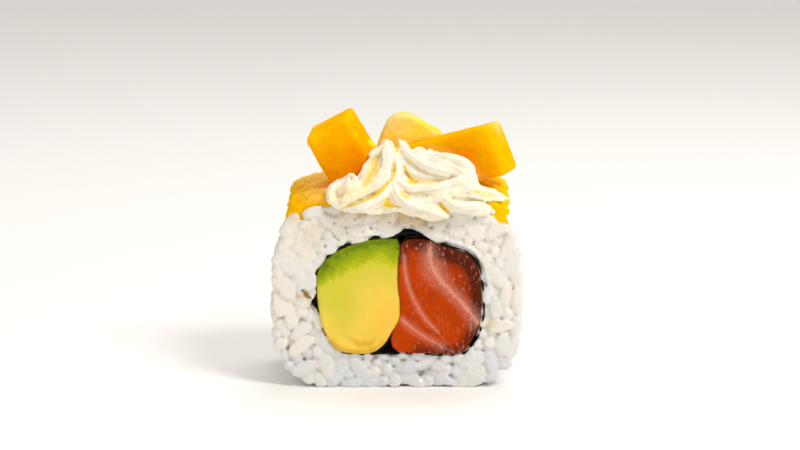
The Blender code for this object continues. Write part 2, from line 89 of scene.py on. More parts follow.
def linear(code):
    """An sRGB hex colour as linear red, green and blue."""
    channels = [int(code[place:place + 2], 16) / 255 for place in (1, 3, 5)]
    return tuple(c / 12.92 if c <= 0.04045 else ((c + 0.055) / 1.055) ** 2.4 for c in channels)


def length_of(name, description, value):
    """A size that can be changed, in metres."""
    return FloatProperty(
        name=name, description=description, default=value, unit="LENGTH", subtype="DISTANCE", precision=5
    )


def colour_of(name, description, code):
    """A colour that can be changed, from its sRGB hex code."""
    return FloatVectorProperty(
        name=name, description=description, default=linear(code), subtype="COLOR", size=3, min=0.0, max=1.0
    )


class UramakiSizes(PropertyGroup):
    """Sizes of the roll, its grains and the finest detail of its pieces"""

    roll_width: length_of("Roll width", "Width of the roll across its cut", 45.0 * MM)
    roll_height: length_of("Roll height", "Height of the roll under the mango", 33.3 * MM)
    grain_length: length_of("Grain length", "Length of a cooked grain of rice", 5.2 * MM)
    grain_width: length_of("Grain width", "Width of a cooked grain of rice", 2.75 * MM)
    grain_thickness: length_of("Grain thickness", "Thickness of a cooked grain of rice", 2.5 * MM)
    crevice: length_of("Crevice depth", "How far the core lies behind the grains", 0.95 * MM)
    rice_detail: length_of("Rice detail", "Size of the finest detail in the rice", 0.24 * MM)
    nori_wave: length_of("Nori wave", "How far the sheet of nori strays from its line", 0.12 * MM)
    cream_detail: length_of("Cream detail", "Size of the finest detail in the cream", 0.2 * MM)
    flesh_detail: length_of("Flesh detail", "Size of the finest detail in fruit and fish", 0.26 * MM)
    cut_grains: IntProperty(name="Grains on a cut", description="Grains packed behind each cut", default=150)
    skin_grains: IntProperty(name="Grains in the skin", description="Grains packed round it", default=400)
    seed: IntProperty(name="Seed", description="Start of the random draws", default=11)


class UramakiColours(PropertyGroup):
    """Colours of the pieces and the floor"""

    rice: colour_of("Rice", "Cooked grain in the light", "#EAE4D9")
    # Also painted shade on the grains at the foot of the roll
    rice_cool_and_shade: colour_of("Cool rice", "Translucent, wetter grain", "#D6D9DC")
    # Also painted shade in the crevices between the grains
    starch_and_shade: colour_of("Starch", "Sticky starch in the crevices", "#A3916A")
    # Also painted shadow and reflected mango light under the cream, and painted shade in cracks and pits
    rice_stain_and_shade: colour_of("Rice stain", "Rice stained by mango and cream", "#C9A650")
    nori: colour_of("Nori", "Toasted seaweed", "#14150F")
    nori_light: colour_of("Nori sheen", "Thin places of the seaweed", "#2A2E2A")
    # Ochre along the foot, also painted shade in the trough above its lip
    avocado_ochre_and_shade: colour_of("Avocado ochre", "Darkened edge", "#CF9F18")
    salmon: colour_of("Salmon", "Raw flesh", "#BE4000")
    salmon_deep: colour_of("Deep salmon", "Darker raw flesh by the skin", "#5A1F0E")
    # Also the colour of the painted highlights on the wet skin side
    salmon_fat_and_glint: colour_of("Salmon fat", "Lines of fat", "#E6A48E")
    mango_light: colour_of("Light mango", "Less ripe flesh", "#FFC406")
    mango_deep: colour_of("Deep mango", "Ripest flesh", "#F27600")
    # Edge colours are a painted glow on thin, translucent edges
    mango_glow: colour_of("Mango edge", "Thin, translucent edges", "#FFC010")
    slice_light: colour_of("Light slice", "Thin slices and flesh near the skin", "#FFCE08")
    slice_deep: colour_of("Deep slice", "Riper flesh of the slices", "#F2AA08")
    # A painted glow on thin, translucent edges
    slice_glow: colour_of("Slice edge", "Thin, translucent edges", "#FBC62E")
    wedge_light: colour_of("Light wedge", "Pale flesh near the skin", "#FFD92E")
    wedge_deep: colour_of("Deep wedge", "Riper flesh of the pale wedge", "#FFC408")
    # Dried haze, and also the painted glow on the pale wedge's edges
    mango_frost_and_glow: colour_of("Mango frost", "Dried, hazy cut surface", "#F8E09C")
    cream: colour_of("Cream", "Piped cream", "#F0EAD8")
    cream_lit: colour_of("Lit cream", "Cream that the mango lights", "#F8E1A0")
    cream_groove: colour_of("Cream groove", "Cream lit by the mango in its grooves", "#FFD63C")
    floor: colour_of("Floor", "Plain studio floor", "#FFFDFA")


# Helpers for modelling

def deselect():
    bpy.ops.object.select_all(action="DESELECT")


def only(piece):
    """Makes this piece the one that is selected and active."""
    deselect()
    piece.select_set(True)
    bpy.context.view_layer.objects.active = piece


@contextmanager
def editing(piece, select="SELECT"):
    """Edit mode on the piece, with all of it or none of it selected."""
    only(piece)
    bpy.ops.object.mode_set(mode="EDIT")
    bpy.ops.mesh.select_all(action=select)
    yield
    bpy.ops.object.mode_set(mode="OBJECT")


def modify(piece, kind, **settings):
    """Adds a modifier with these settings and applies it."""
    only(piece)
    modifier = piece.modifiers.new(kind.lower(), kind)
    for name, value in settings.items():
        setattr(modifier, name, value)
    bpy.ops.object.modifier_apply(modifier=modifier.name)


def remesh(piece, size):
    """One even skin over the piece, with faces of this size."""
    modify(piece, "REMESH", mode="VOXEL", voxel_size=size)


def roughen(piece, *lumps):
    """Moves the surface in and out in lumps, each kind with its size and its depth in millimetres."""
    for size, depth in lumps:
        pattern = bpy.data.textures.new(piece.name + "_lumps", "CLOUDS")
        pattern.noise_scale = size * MM
        modify(piece, "DISPLACE", texture=pattern, strength=2 * depth * MM, texture_coords="LOCAL")


def swell(piece, amount):
    """Moves the whole surface out by this amount."""
    modify(piece, "DISPLACE", strength=amount, mid_level=0.0)


def points_of(piece):
    """The piece's points as an array of X, Y and Z."""
    points = np.empty(len(piece.data.vertices) * 3)
    piece.data.vertices.foreach_get("co", points)
    return points.reshape(-1, 3)


def normals_of(piece):
    normals = np.empty(len(piece.data.vertices) * 3)
    piece.data.vertices.foreach_get("normal", normals)
    return normals.reshape(-1, 3)


def move_points(piece, points):
    piece.data.vertices.foreach_set("co", points.astype(np.float32).ravel())
    piece.data.update()


def paint(piece, name, values):
    """Keeps one value, or one vector, for each point of the piece, for its material to read."""
    values = np.asarray(values, np.float32)
    kind, field = ("FLOAT", "value") if values.ndim == 1 else ("FLOAT_VECTOR", "vector")
    attribute = piece.data.attributes.new(name, kind, "POINT")
    attribute.data.foreach_set(field, values.ravel())


def copy_of_node(node, name):
    """A welded copy of a CAD node, to model the finished piece from."""
    piece = bpy.data.objects.new(name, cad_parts[node].data.copy())
    bpy.context.scene.collection.objects.link(piece)
    piece.data.materials.clear()
    with editing(piece):
        bpy.ops.mesh.remove_doubles(threshold=0.01 * MM)
        bpy.ops.mesh.normals_make_consistent(inside=False)
    return piece


def joined(pieces, name):
    """The pieces as one piece with this name."""
    deselect()
    for piece in pieces:
        piece.select_set(True)
    bpy.context.view_layer.objects.active = pieces[0]
    bpy.ops.object.join()
    pieces[0].name = name
    return pieces[0]


def finish_piece(piece, material, nodes=()):
    """Gives the piece its material and its place in the frame."""
    piece.data.materials.clear()
    piece.data.materials.append(material)
    only(piece)
    bpy.ops.object.shade_smooth()
    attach(piece, "root")
    if nodes:
        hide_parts(*nodes)


def smoothed_copy(piece, rounds):
    """The piece's points after much smoothing, to tell its hollows from its ridges."""
    copy = piece.copy()
    copy.data = piece.data.copy()
    bpy.context.scene.collection.objects.link(copy)
    modify(copy, "SMOOTH", factor=0.6, iterations=rounds)
    points = points_of(copy)
    bpy.data.objects.remove(copy)
    return points


def hollowness(piece, rounds):
    """How deep each point lies in a hollow, in millimetres. A ridge or an edge is less than none."""
    away = smoothed_copy(piece, rounds) - points_of(piece)
    return np.einsum("ij,ij->i", away, normals_of(piece)) / MM


def smooth_step(low, high, values):
    """0 at low and before it, 1 at high and past it, with a smooth rise between them."""
    share = np.clip((values - low) / (high - low), 0.0, 1.0)
    return share * share * (3 - 2 * share)


def squeezed(values, limit, softness):
    """The values, with what is over the limit pressed softly into a thin layer above it."""
    over = np.maximum(values - limit, 0.0)
    return values - over + softness * (1 - np.exp(-over / softness))


def curve_through(points, samples):
    """A smooth open line through the points, which may hold more than three numbers each."""
    points = np.asarray(points, float)
    line = []
    for index in range(len(points) - 1):
        before = points[max(index - 1, 0)]
        start, end = points[index], points[index + 1]
        after = points[min(index + 2, len(points) - 1)]
        for share in np.arange(samples) / samples:
            line.append(0.5 * (
                2 * start + (end - before) * share
                + (2 * before - 5 * start + 4 * end - after) * share ** 2
                + (3 * start - before - 3 * end + after) * share ** 3
            ))
    line.append(points[-1])
    return np.array(line)


def nearest_share(places, line):
    """How near each place lies to the line: 0 on it, 1 at its half width, more farther off."""
    best = np.full(len(places), 9.0)
    for across, up, reach in curve_through(line, 4):
        best = np.minimum(best, np.hypot(places[:, 0] - across, places[:, 1] - up) / reach)
    return best


def in_view(right, down):
    """The point in the plane of the view's target that shows at this pixel of the view."""
    across = (right - VIEW_WIDTH / 2) * VIEW_PIXEL
    drop = (down - VIEW_HEIGHT / 2) * VIEW_PIXEL
    return VIEW_TARGET + VIEW_RIGHT * across - VIEW_UP * drop


def seen_at(points):
    """Where points show from the front: pixels right and pixels down."""
    rays = points - np.array(VIEW_EYE)
    depth = rays @ np.array(VIEW_FORWARD)
    right = rays @ np.array(VIEW_RIGHT) / depth * VIEW_DISTANCE / VIEW_PIXEL + VIEW_WIDTH / 2
    down = VIEW_HEIGHT / 2 - rays @ np.array(VIEW_UP) / depth * VIEW_DISTANCE / VIEW_PIXEL
    return np.column_stack([right, down])


# Materials

def set_inputs(tree, made, inputs):
    """Sets a node's inputs, each to a value or to another node's output, which is linked."""
    for socket, value in inputs.items():
        if isinstance(value, bpy.types.NodeSocket):
            tree.links.new(value, made.inputs[socket])
        else:
            made.inputs[socket].default_value = value


def node(tree, kind, inputs=None, **settings):
    """Adds a shader node with these inputs and settings."""
    made = tree.nodes.new("ShaderNode" + kind)
    for name, value in settings.items():
        setattr(made, name, value)
    set_inputs(tree, made, inputs or {})
    return made


def new_material(name):
    """A material with only its Principled shader, its node tree and that shader."""
    material = bpy.data.materials.new(name)
    material.use_nodes = True
    return material, material.node_tree, material.node_tree.nodes["Principled BSDF"]


def opaque(colour):
    """The colour with full alpha, as a colour socket takes it."""
    return (*colour, 1.0)


def rice_material(colours):
    """Cooked short-grain rice: moist and a little translucent, whiter grains among cooler ones."""
    material, tree, shader = new_material("cooked rice")
    place = node(tree, "TexCoord").outputs["Object"]
    tone = node(tree, "Attribute", attribute_name="tone").outputs["Fac"]
    hollow = node(tree, "Attribute", attribute_name="hollow").outputs["Fac"]
    grain = node(tree, "Mix", {FACTOR: tone, FIRST: opaque(colours.rice), SECOND: opaque(colours.rice_cool_and_shade)},
                 data_type="RGBA")
    # Starch gathers between the grains in patches about 3 mm wide; in the hollows it is also painted shade
    broad = node(tree, "TexNoise", {"Vector": place, "Scale": 1 / (3.0 * MM), "Detail": 3.0})
    patch = node(tree, "MapRange", {"Value": broad.outputs["Fac"], "From Min": 0.4, "From Max": 0.62,
                                    "To Min": 0.6})
    sticky = node(tree, "Math", {0: patch.outputs[0], 1: hollow}, operation="MULTIPLY")
    starch_and_shade_mixed = node(tree, "Mix", {FACTOR: sticky.outputs[0], FIRST: grain.outputs[MIXED],
                                  SECOND: opaque(colours.starch_and_shade)}, data_type="RGBA")
    # Stains of mango and cream, with painted shadow and reflected mango light under the cream and in the
    # cracks
    stain_and_shade = node(tree, "Attribute", attribute_name="stain_and_shade").outputs["Fac"]
    coloured = node(tree, "Mix", {FACTOR: stain_and_shade, FIRST: starch_and_shade_mixed.outputs[MIXED],
                                  SECOND: opaque(colours.rice_stain_and_shade)}, data_type="RGBA")
    # Duller patches about 1.2 mm wide, and a pitted surface with dents about 0.5 mm wide
    dull = node(tree, "TexNoise", {"Vector": place, "Scale": 1 / (1.2 * MM), "Detail": 4.0, "Roughness": 0.6})
    duller = node(tree, "MapRange", {"Value": dull.outputs["Fac"], "From Min": 0.5, "From Max": 0.8,
                                     "To Max": 0.5})
    mottled = node(tree, "Mix", {FACTOR: duller.outputs[0], FIRST: coloured.outputs[MIXED],
                                 SECOND: opaque(colours.rice_cool_and_shade)}, data_type="RGBA")
    cloud = node(tree, "TexNoise", {"Vector": place, "Scale": 1 / (0.5 * MM), "Detail": 3.0})
    wet = node(tree, "MapRange", {"Value": cloud.outputs["Fac"], "From Min": 0.3, "From Max": 0.7,
                                  "To Min": 0.2, "To Max": 0.42})
    relief = node(tree, "Bump", {"Height": cloud.outputs["Fac"], "Strength": 0.8, "Distance": 0.12 * MM})
    set_inputs(tree, shader, {
        "Base Color": mottled.outputs[MIXED], "Roughness": wet.outputs[0], "Normal": relief.outputs[0],
        "Subsurface Weight": 0.2, "Subsurface Radius": (1.0, 0.92, 0.8), "Subsurface Scale": 0.35 * MM,
        "IOR": 1.4, "Coat Weight": 0.4, "Coat Roughness": 0.18,
    })
    return material


def nori_material(colours):
    """Toasted nori gone damp: near black, with a faint sheen where the sheet is thin."""
    material, tree, shader = new_material("damp nori")
    place = node(tree, "TexCoord").outputs["Object"]
    # The sheet is pressed from flakes about 0.6 mm wide
    pulp = node(tree, "TexNoise", {"Vector": place, "Scale": 1 / (0.6 * MM), "Detail": 5.0})
    thin = node(tree, "MapRange", {"Value": pulp.outputs["Fac"], "From Min": 0.55, "From Max": 0.8})
    mixed = node(tree, "Mix", {FACTOR: thin.outputs[0], FIRST: opaque(colours.nori),
                               SECOND: opaque(colours.nori_light)}, data_type="RGBA")
    relief = node(tree, "Bump", {"Height": pulp.outputs["Fac"], "Strength": 0.8, "Distance": 0.08 * MM})
    set_inputs(tree, shader, {
        "Base Color": mixed.outputs[MIXED], "Roughness": 0.55, "Normal": relief.outputs[0],
        "Specular IOR Level": 0.15,
    })
    return material


# Avocado flesh by its distance in millimetres from where the skin was
AVOCADO_SHADES = (
    (0.0, "#667C02"), (0.8, "#85990A"), (1.9, "#98A808"), (2.9, "#BABC14"),
    (4.0, "#D3CB3A"), (5.8, "#DDCB48"), (9.0, "#EECE52"), (12.0, "#F4C84C"),
)


def avocado_material(colours):
    """Ripe avocado: buttery and satin, green under the skin and yellow towards the stone."""
    material, tree, shader = new_material("ripe avocado")
    place = node(tree, "TexCoord").outputs["Object"]
    from_skin = node(tree, "Attribute", attribute_name="from_skin").outputs["Fac"]
    ochre_and_shade = node(tree, "Attribute", attribute_name="ochre_and_shade").outputs["Fac"]
    # The colours stray by about 1 mm in soft streaks about 1.2 mm wide
    streak = node(tree, "TexNoise", {"Vector": place, "Scale": 1 / (1.2 * MM), "Detail": 5.0,
                                     "Roughness": 0.7})
    strayed = node(tree, "Math", {0: streak.outputs["Fac"], 1: 4.2, 2: -2.1}, operation="MULTIPLY_ADD")
    skinward = node(tree, "Math", {0: from_skin, 1: strayed.outputs[0]}, operation="ADD")
    reach = AVOCADO_SHADES[-1][0]
    share = node(tree, "Math", {0: skinward.outputs[0], 1: reach}, operation="DIVIDE")
    shades = node(tree, "ValToRGB", {"Fac": share.outputs[0]})
    stops = shades.color_ramp.elements
    for depth, _ in AVOCADO_SHADES[1:-1]:
        stops.new(depth / reach)
    for stop, (_, code) in zip(stops, AVOCADO_SHADES):
        stop.color = opaque(linear(code))
    # Ochre along the foot: a darker edge, and painted shade in the trough above the lip
    ochre_and_shaded = node(tree, "Mix", {FACTOR: ochre_and_shade, FIRST: shades.outputs["Color"],
                                 SECOND: opaque(colours.avocado_ochre_and_shade)}, data_type="RGBA")
    fine = node(tree, "TexNoise", {"Vector": place, "Scale": 1 / (0.35 * MM), "Detail": 3.0})
    relief = node(tree, "Bump", {"Height": fine.outputs["Fac"], "Strength": 0.4, "Distance": 0.05 * MM})
    set_inputs(tree, shader, {
        "Base Color": ochre_and_shaded.outputs[MIXED], "Roughness": 0.45, "Normal": relief.outputs[0],
        "Subsurface Weight": 0.25, "Subsurface Radius": (1.0, 0.8, 0.3), "Subsurface Scale": 0.8 * MM,
        "Specular IOR Level": 0.12,
    })
    return material


def salmon_material(colours):
    """Raw salmon: wet, translucent orange-red flesh with pale lines of fat."""
    material, tree, shader = new_material("raw salmon")
    place = node(tree, "TexCoord").outputs["Object"]
    lines = node(tree, "Attribute", attribute_name="fat").outputs["Vector"]
    parts = node(tree, "SeparateXYZ", {"Vector": lines})
    skin = node(tree, "Attribute", attribute_name="skin").outputs["Fac"]
    grit = node(tree, "TexNoise", {"Vector": place, "Scale": 1 / (0.5 * MM), "Detail": 4.0, "Roughness": 0.7})
    broad = node(tree, "TexNoise", {"Vector": place, "Scale": 1 / (3.0 * MM), "Detail": 3.0})
    dark = node(tree, "Math", {0: broad.outputs["Fac"], 1: 0.7, 2: skin}, operation="MULTIPLY_ADD")
    darker = node(tree, "MapRange", {"Value": dark.outputs[0], "From Min": 0.35, "From Max": 1.2})
    flesh = node(tree, "Mix", {FACTOR: darker.outputs[0], FIRST: opaque(colours.salmon),
                               SECOND: opaque(colours.salmon_deep)}, data_type="RGBA")
    colour = flesh.outputs[MIXED]
    frayed = node(tree, "Math", {0: grit.outputs["Fac"], 1: 2.4, 2: -1.2}, operation="MULTIPLY_ADD")
    # Each line of fat has a soft haze round a bright core that breaks up into dots where it is thin
    for axis, solid in (("X", 0.72), ("Y", 0.55), ("Z", 0.55)):
        across = node(tree, "Math", {0: parts.outputs[axis], 1: frayed.outputs[0]}, operation="ADD")
        far = node(tree, "Math", {0: across.outputs[0]}, operation="ABSOLUTE")
        haze = node(tree, "MapRange", {"Value": far.outputs[0], "From Min": 2.6, "From Max": 0.5,
                                       "To Max": 0.4 * solid}, interpolation_type="SMOOTHSTEP")
        core = node(tree, "MapRange", {"Value": far.outputs[0], "From Min": 1.0, "From Max": 0.1,
                                       "To Max": solid}, interpolation_type="SMOOTHSTEP")
        fat = node(tree, "Math", {0: haze.outputs[0], 1: core.outputs[0]}, operation="MAXIMUM")
        mixed = node(tree, "Mix", {FACTOR: fat.outputs[0], FIRST: colour, SECOND: opaque(colours.salmon_fat_and_glint)},
                     data_type="RGBA")
        colour = mixed.outputs[MIXED]
    # The skin side is rougher, and it sparkles in wet streaks about 0.2 mm wide that run down to the right
    rough = node(tree, "MapRange", {"Value": skin, "To Min": 0.35, "To Max": 1.0})
    streaks = node(tree, "Mapping", {"Vector": place, "Rotation": (0.0, 0.9, 0.0), "Scale": (1.0, 0.4, 0.4)})
    spots = node(tree, "TexNoise", {"Vector": streaks.outputs[0], "Scale": 1 / (0.45 * MM), "Detail": 2.0})
    spot = node(tree, "MapRange", {"Value": spots.outputs["Fac"], "From Min": 0.6, "From Max": 0.7,
                                   "To Max": 0.9})
    wetter = node(tree, "MapRange", {"Value": skin, "From Min": 0.1, "From Max": 0.5, "To Min": 0.25})
    coat = node(tree, "Math", {0: spot.outputs[0], 1: wetter.outputs[0]}, operation="MULTIPLY")
    # A painted highlight: the glinting streaks are mixed into the base colour as pale dots
    glint = node(tree, "Math", {0: coat.outputs[0], 1: 0.38}, operation="MULTIPLY")
    glinting = node(tree, "Mix", {FACTOR: glint.outputs[0], FIRST: colour,
                                  SECOND: opaque(colours.salmon_fat_and_glint)}, data_type="RGBA")
    relief = node(tree, "Bump", {"Height": grit.outputs["Fac"], "Strength": rough.outputs[0],
                                 "Distance": 0.14 * MM})
    set_inputs(tree, shader, {
        "Base Color": glinting.outputs[MIXED], "Roughness": 0.34, "Normal": relief.outputs[0],
        "Subsurface Weight": 0.25, "Subsurface Radius": (1.0, 0.35, 0.15), "Subsurface Scale": 0.8 * MM,
        "Coat Weight": coat.outputs[0], "Coat Roughness": 0.12, "Specular IOR Level": 0.04,
    })
    return material


def mango_material(colours, name, light, deep, glow):
    """Mango flesh: juicy and translucent with fine fibres, and hazy where its cut surface has dried."""
    material, tree, shader = new_material(name)
    place = node(tree, "TexCoord").outputs["Object"]
    edge = node(tree, "Attribute", attribute_name="edge").outputs["Fac"]
    ripe = node(tree, "Attribute", attribute_name="ripe").outputs["Fac"]
    frost = node(tree, "Attribute", attribute_name="frost").outputs["Fac"]
    broad = node(tree, "TexNoise", {"Vector": place, "Scale": 1 / (3.5 * MM), "Detail": 3.0})
    patchy = node(tree, "Math", {0: broad.outputs["Fac"], 1: 0.6, 2: -0.3}, operation="MULTIPLY_ADD")
    ripeness = node(tree, "Math", {0: patchy.outputs[0], 1: ripe}, operation="ADD", use_clamp=True)
    flesh = node(tree, "Mix", {FACTOR: ripeness.outputs[0], FIRST: opaque(light), SECOND: opaque(deep)},
                 data_type="RGBA")
    # Ridges and thin edges are painted lighter: a painted glow and highlight
    edge_glow_painted = node(tree, "Mix", {FACTOR: edge, FIRST: flesh.outputs[MIXED], SECOND: opaque(glow)},
                 data_type="RGBA")
    # Fibres run up through the flesh, about 0.5 mm wide and 3 mm long
    stretched = node(tree, "Mapping", {"Vector": place, "Scale": (1.0, 1.0, 0.15)})
    fibre = node(tree, "TexNoise", {"Vector": stretched.outputs[0], "Scale": 1 / (0.5 * MM), "Detail": 3.0,
                                    "Roughness": 0.6})
    pulp = node(tree, "TexNoise", {"Vector": place, "Scale": 1 / (0.6 * MM), "Detail": 4.0, "Roughness": 0.7})
    haze = node(tree, "Math", {0: fibre.outputs["Fac"], 1: pulp.outputs["Fac"]}, operation="ADD")
    hazy = node(tree, "MapRange", {"Value": haze.outputs[0], "From Min": 0.8, "From Max": 1.2, "To Min": 0.2})
    frosting = node(tree, "Math", {0: hazy.outputs[0], 1: frost}, operation="MULTIPLY")
    frosted = node(tree, "Mix", {FACTOR: frosting.outputs[0], FIRST: edge_glow_painted.outputs[MIXED],
                                 SECOND: opaque(colours.mango_frost_and_glow)}, data_type="RGBA")
    relief = node(tree, "Bump", {"Height": haze.outputs[0], "Strength": 0.6, "Distance": 0.09 * MM})
    set_inputs(tree, shader, {
        "Base Color": frosted.outputs[MIXED], "Roughness": 0.35, "Normal": relief.outputs[0],
        "Subsurface Weight": 0.2, "Subsurface Radius": (1.0, 0.6, 0.1), "Subsurface Scale": 0.8 * MM,
        "Specular IOR Level": 0.0,
    })
    return material


def cream_material(colours):
    """Soft piped cream: ivory and satin, lit yellow by the mango in its deep grooves."""
    material, tree, shader = new_material("piped cream")
    place = node(tree, "TexCoord").outputs["Object"]
    groove = node(tree, "Attribute", attribute_name="groove").outputs["Fac"]
    # Soft dimples about 0.7 mm wide
    cloud = node(tree, "TexNoise", {"Vector": place, "Scale": 1 / (0.7 * MM), "Detail": 4.0})
    shades = node(tree, "ValToRGB", {"Fac": groove})
    stops = shades.color_ramp.elements
    stops.new(0.5)
    for stop, colour in zip(stops, (colours.cream, colours.cream_lit, colours.cream_groove)):
        stop.color = opaque(colour)
    relief = node(tree, "Bump", {"Height": cloud.outputs["Fac"], "Strength": 0.5, "Distance": 0.07 * MM})
    set_inputs(tree, shader, {
        "Base Color": shades.outputs["Color"], "Roughness": 0.45, "Normal": relief.outputs[0],
        "Subsurface Weight": 0.7, "Subsurface Radius": (1.0, 0.85, 0.45), "Subsurface Scale": 1.2 * MM,
        "Specular IOR Level": 0.25,
    })
    return material


def paper_material(colours):
    """Matt studio paper: nearly white, with a faint tooth."""
    material, tree, shader = new_material("studio paper")
    place = node(tree, "TexCoord").outputs["Object"]
    # Paper tooth 1.5 mm wide, coarser than real so that it shows a little
    tooth = node(tree, "TexNoise", {"Vector": place, "Scale": 1 / (1.5 * MM), "Detail": 3.0})
    relief = node(tree, "Bump", {"Height": tooth.outputs["Fac"], "Strength": 0.1, "Distance": 0.1 * MM})
    set_inputs(tree, shader, {
        "Base Color": opaque(colours.floor), "Roughness": 0.85, "Normal": relief.outputs[0],
    })
    return material


# The ring of rice

ROLL_SQUARENESS = 3.8  # power of the roll's superellipse
PRESSED_FLAT = 0.4 * MM  # how far the underside is squashed by the roll's weight
FRONT, BACK, SKIN = 0, 1, 2  # a grain lies behind the front cut, behind the back cut, or in the outer skin

# Bumps of the ring by their place round its heart: middle and spread in degrees, height in millimetres.
# At the shoulders the rice stands up before the mango's front edge. At the pockets it stays off the nori,
# and at the lip it is pressed farthest over the nori.
SHOULDERS = ((128, 20, 1.0), (142, 9, 0.9), (50, 18, 0.5))
POCKETS = ((81, 15, 0.75), (182.6, 4.5, 1.5), (255, 5, 0.4), (329, 6, 0.6))
LIP = ((40, 20, 0.3),)

# Shapes of a grain: its bow in millimetres, the width of its narrow end and its length, as shares
GRAIN_SHAPES = ((0.10, 0.92, 1.0), (-0.16, 0.8, 1.07), (0.22, 0.86, 0.92))

RIM_SAMPLES = 1440
HOLE_SHARE = 0.84  # the hole lies nearer to the heart than this share of the way to the outline

# How the grains are laid and settle
START_ROOM = 0.6  # how far from the nori and the outline they start, as a share of their half width
OUTER_RING = 3 * MM  # grains this near the outline turn more freely
OUTER_FREEDOM = 2.2  # how many times as freely
FOOT_TOP = 8 * MM
FOOT_ENDWISE, RING_ENDWISE = 0.75, 0.22  # shares of the grains that show an end at the cut
SETTLING_ROUNDS = 90
PUSH_SHARE = 0.3  # how much of an overlap one round clears
TURN_SHARE = 0.7  # how much of a turn one round takes
RIM_ROOM, FOOT_ROOM = 0.6, 0.98  # how far inside the outline a ball stays, as a share of its radius

# The mango hides grains that are this near the middle across and along, and this high
MANGO_COVER = (14 * MM, 5 * MM, 30.5 * MM)

CORE_DETAIL = 0.5 * MM
CORE_FOOT = 0.8 * MM  # how far the core stays above the floor


def polar(across, up):
    """Angle and distance of points from the heart of the roll."""
    return np.arctan2(up - HEART[1], across - HEART[0]), np.hypot(across - HEART[0], up - HEART[1])


def from_polar(angle, distance, y):
    """Points at these angles and distances from the heart of the roll, and at Y."""
    across = HEART[0] + distance * np.cos(angle)
    up = HEART[1] + distance * np.sin(angle)
    return np.column_stack([across, np.broadcast_to(y, across.shape), up])


def rim_table(across, up):
    """Angles and distances of an outline's points, in the order that interpolation needs."""
    angle, distance = polar(across, up)
    order = np.argsort(angle)
    return angle[order], distance[order]


def outer_rim(sizes):
    """The roll's outline: a superellipse pressed flat at Z = 0."""
    turn = np.linspace(0, 2 * math.pi, RIM_SAMPLES, endpoint=False)
    half_height = (sizes.roll_height + PRESSED_FLAT) / 2
    power = 2 / ROLL_SQUARENESS
    across = sizes.roll_width / 2 * np.sign(np.cos(turn)) * np.abs(np.cos(turn)) ** power
    up = sizes.roll_height - half_height + half_height * np.sign(np.sin(turn)) * np.abs(np.sin(turn)) ** power
    return rim_table(across, np.maximum(up, 0.0))


def hole_rim(outside):
    """The inner outline of the rice node."""
    points = points_of(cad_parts["rice"])
    points = np.unique(np.round(points[points[:, 1] < RICE_LOW.y + 0.01 * MM], 7), axis=0)
    angle, distance = polar(points[:, 0], points[:, 2])
    inner = distance < HOLE_SHARE * on_rim(outside, angle)
    return rim_table(points[inner, 0], points[inner, 2])


def on_rim(rim, angle):
    """How far from the heart this outline lies at these angles."""
    return np.interp(angle, *rim, period=2 * math.pi)


def bumps(table, angle):
    """The height of the bumps in this table at these angles."""
    height = 0.0
    for middle, spread, top in table:
        off = (np.degrees(angle) - middle + 180) % 360 - 180
        height = height + top * MM * np.exp(-(off / spread) ** 2)
    return height


def smeared(across, up):
    """How far the knife has smeared the cut: most at the upper left, some at the right, not at the foot."""
    upper_left = smooth_step(-5, -12, across / MM) * smooth_step(15, 23, up / MM)
    right = 0.5 * smooth_step(13, 18, across / MM) * smooth_step(6, 12, up / MM)
    top = 0.45 * smooth_step(26, 30, up / MM)
    return np.maximum(np.maximum(upper_left, right), top)


def at_foot(up):
    """1 for grains at the foot of the ring, 0 for those above it."""
    return smooth_step(8, 5, up / MM)


def near_cut(y):
    """0 for places up to 8.5 mm along from the roll's middle, and 1 from 10.5 mm on, by the cut."""
    return smooth_step(8.5, 10.5, y / MM)


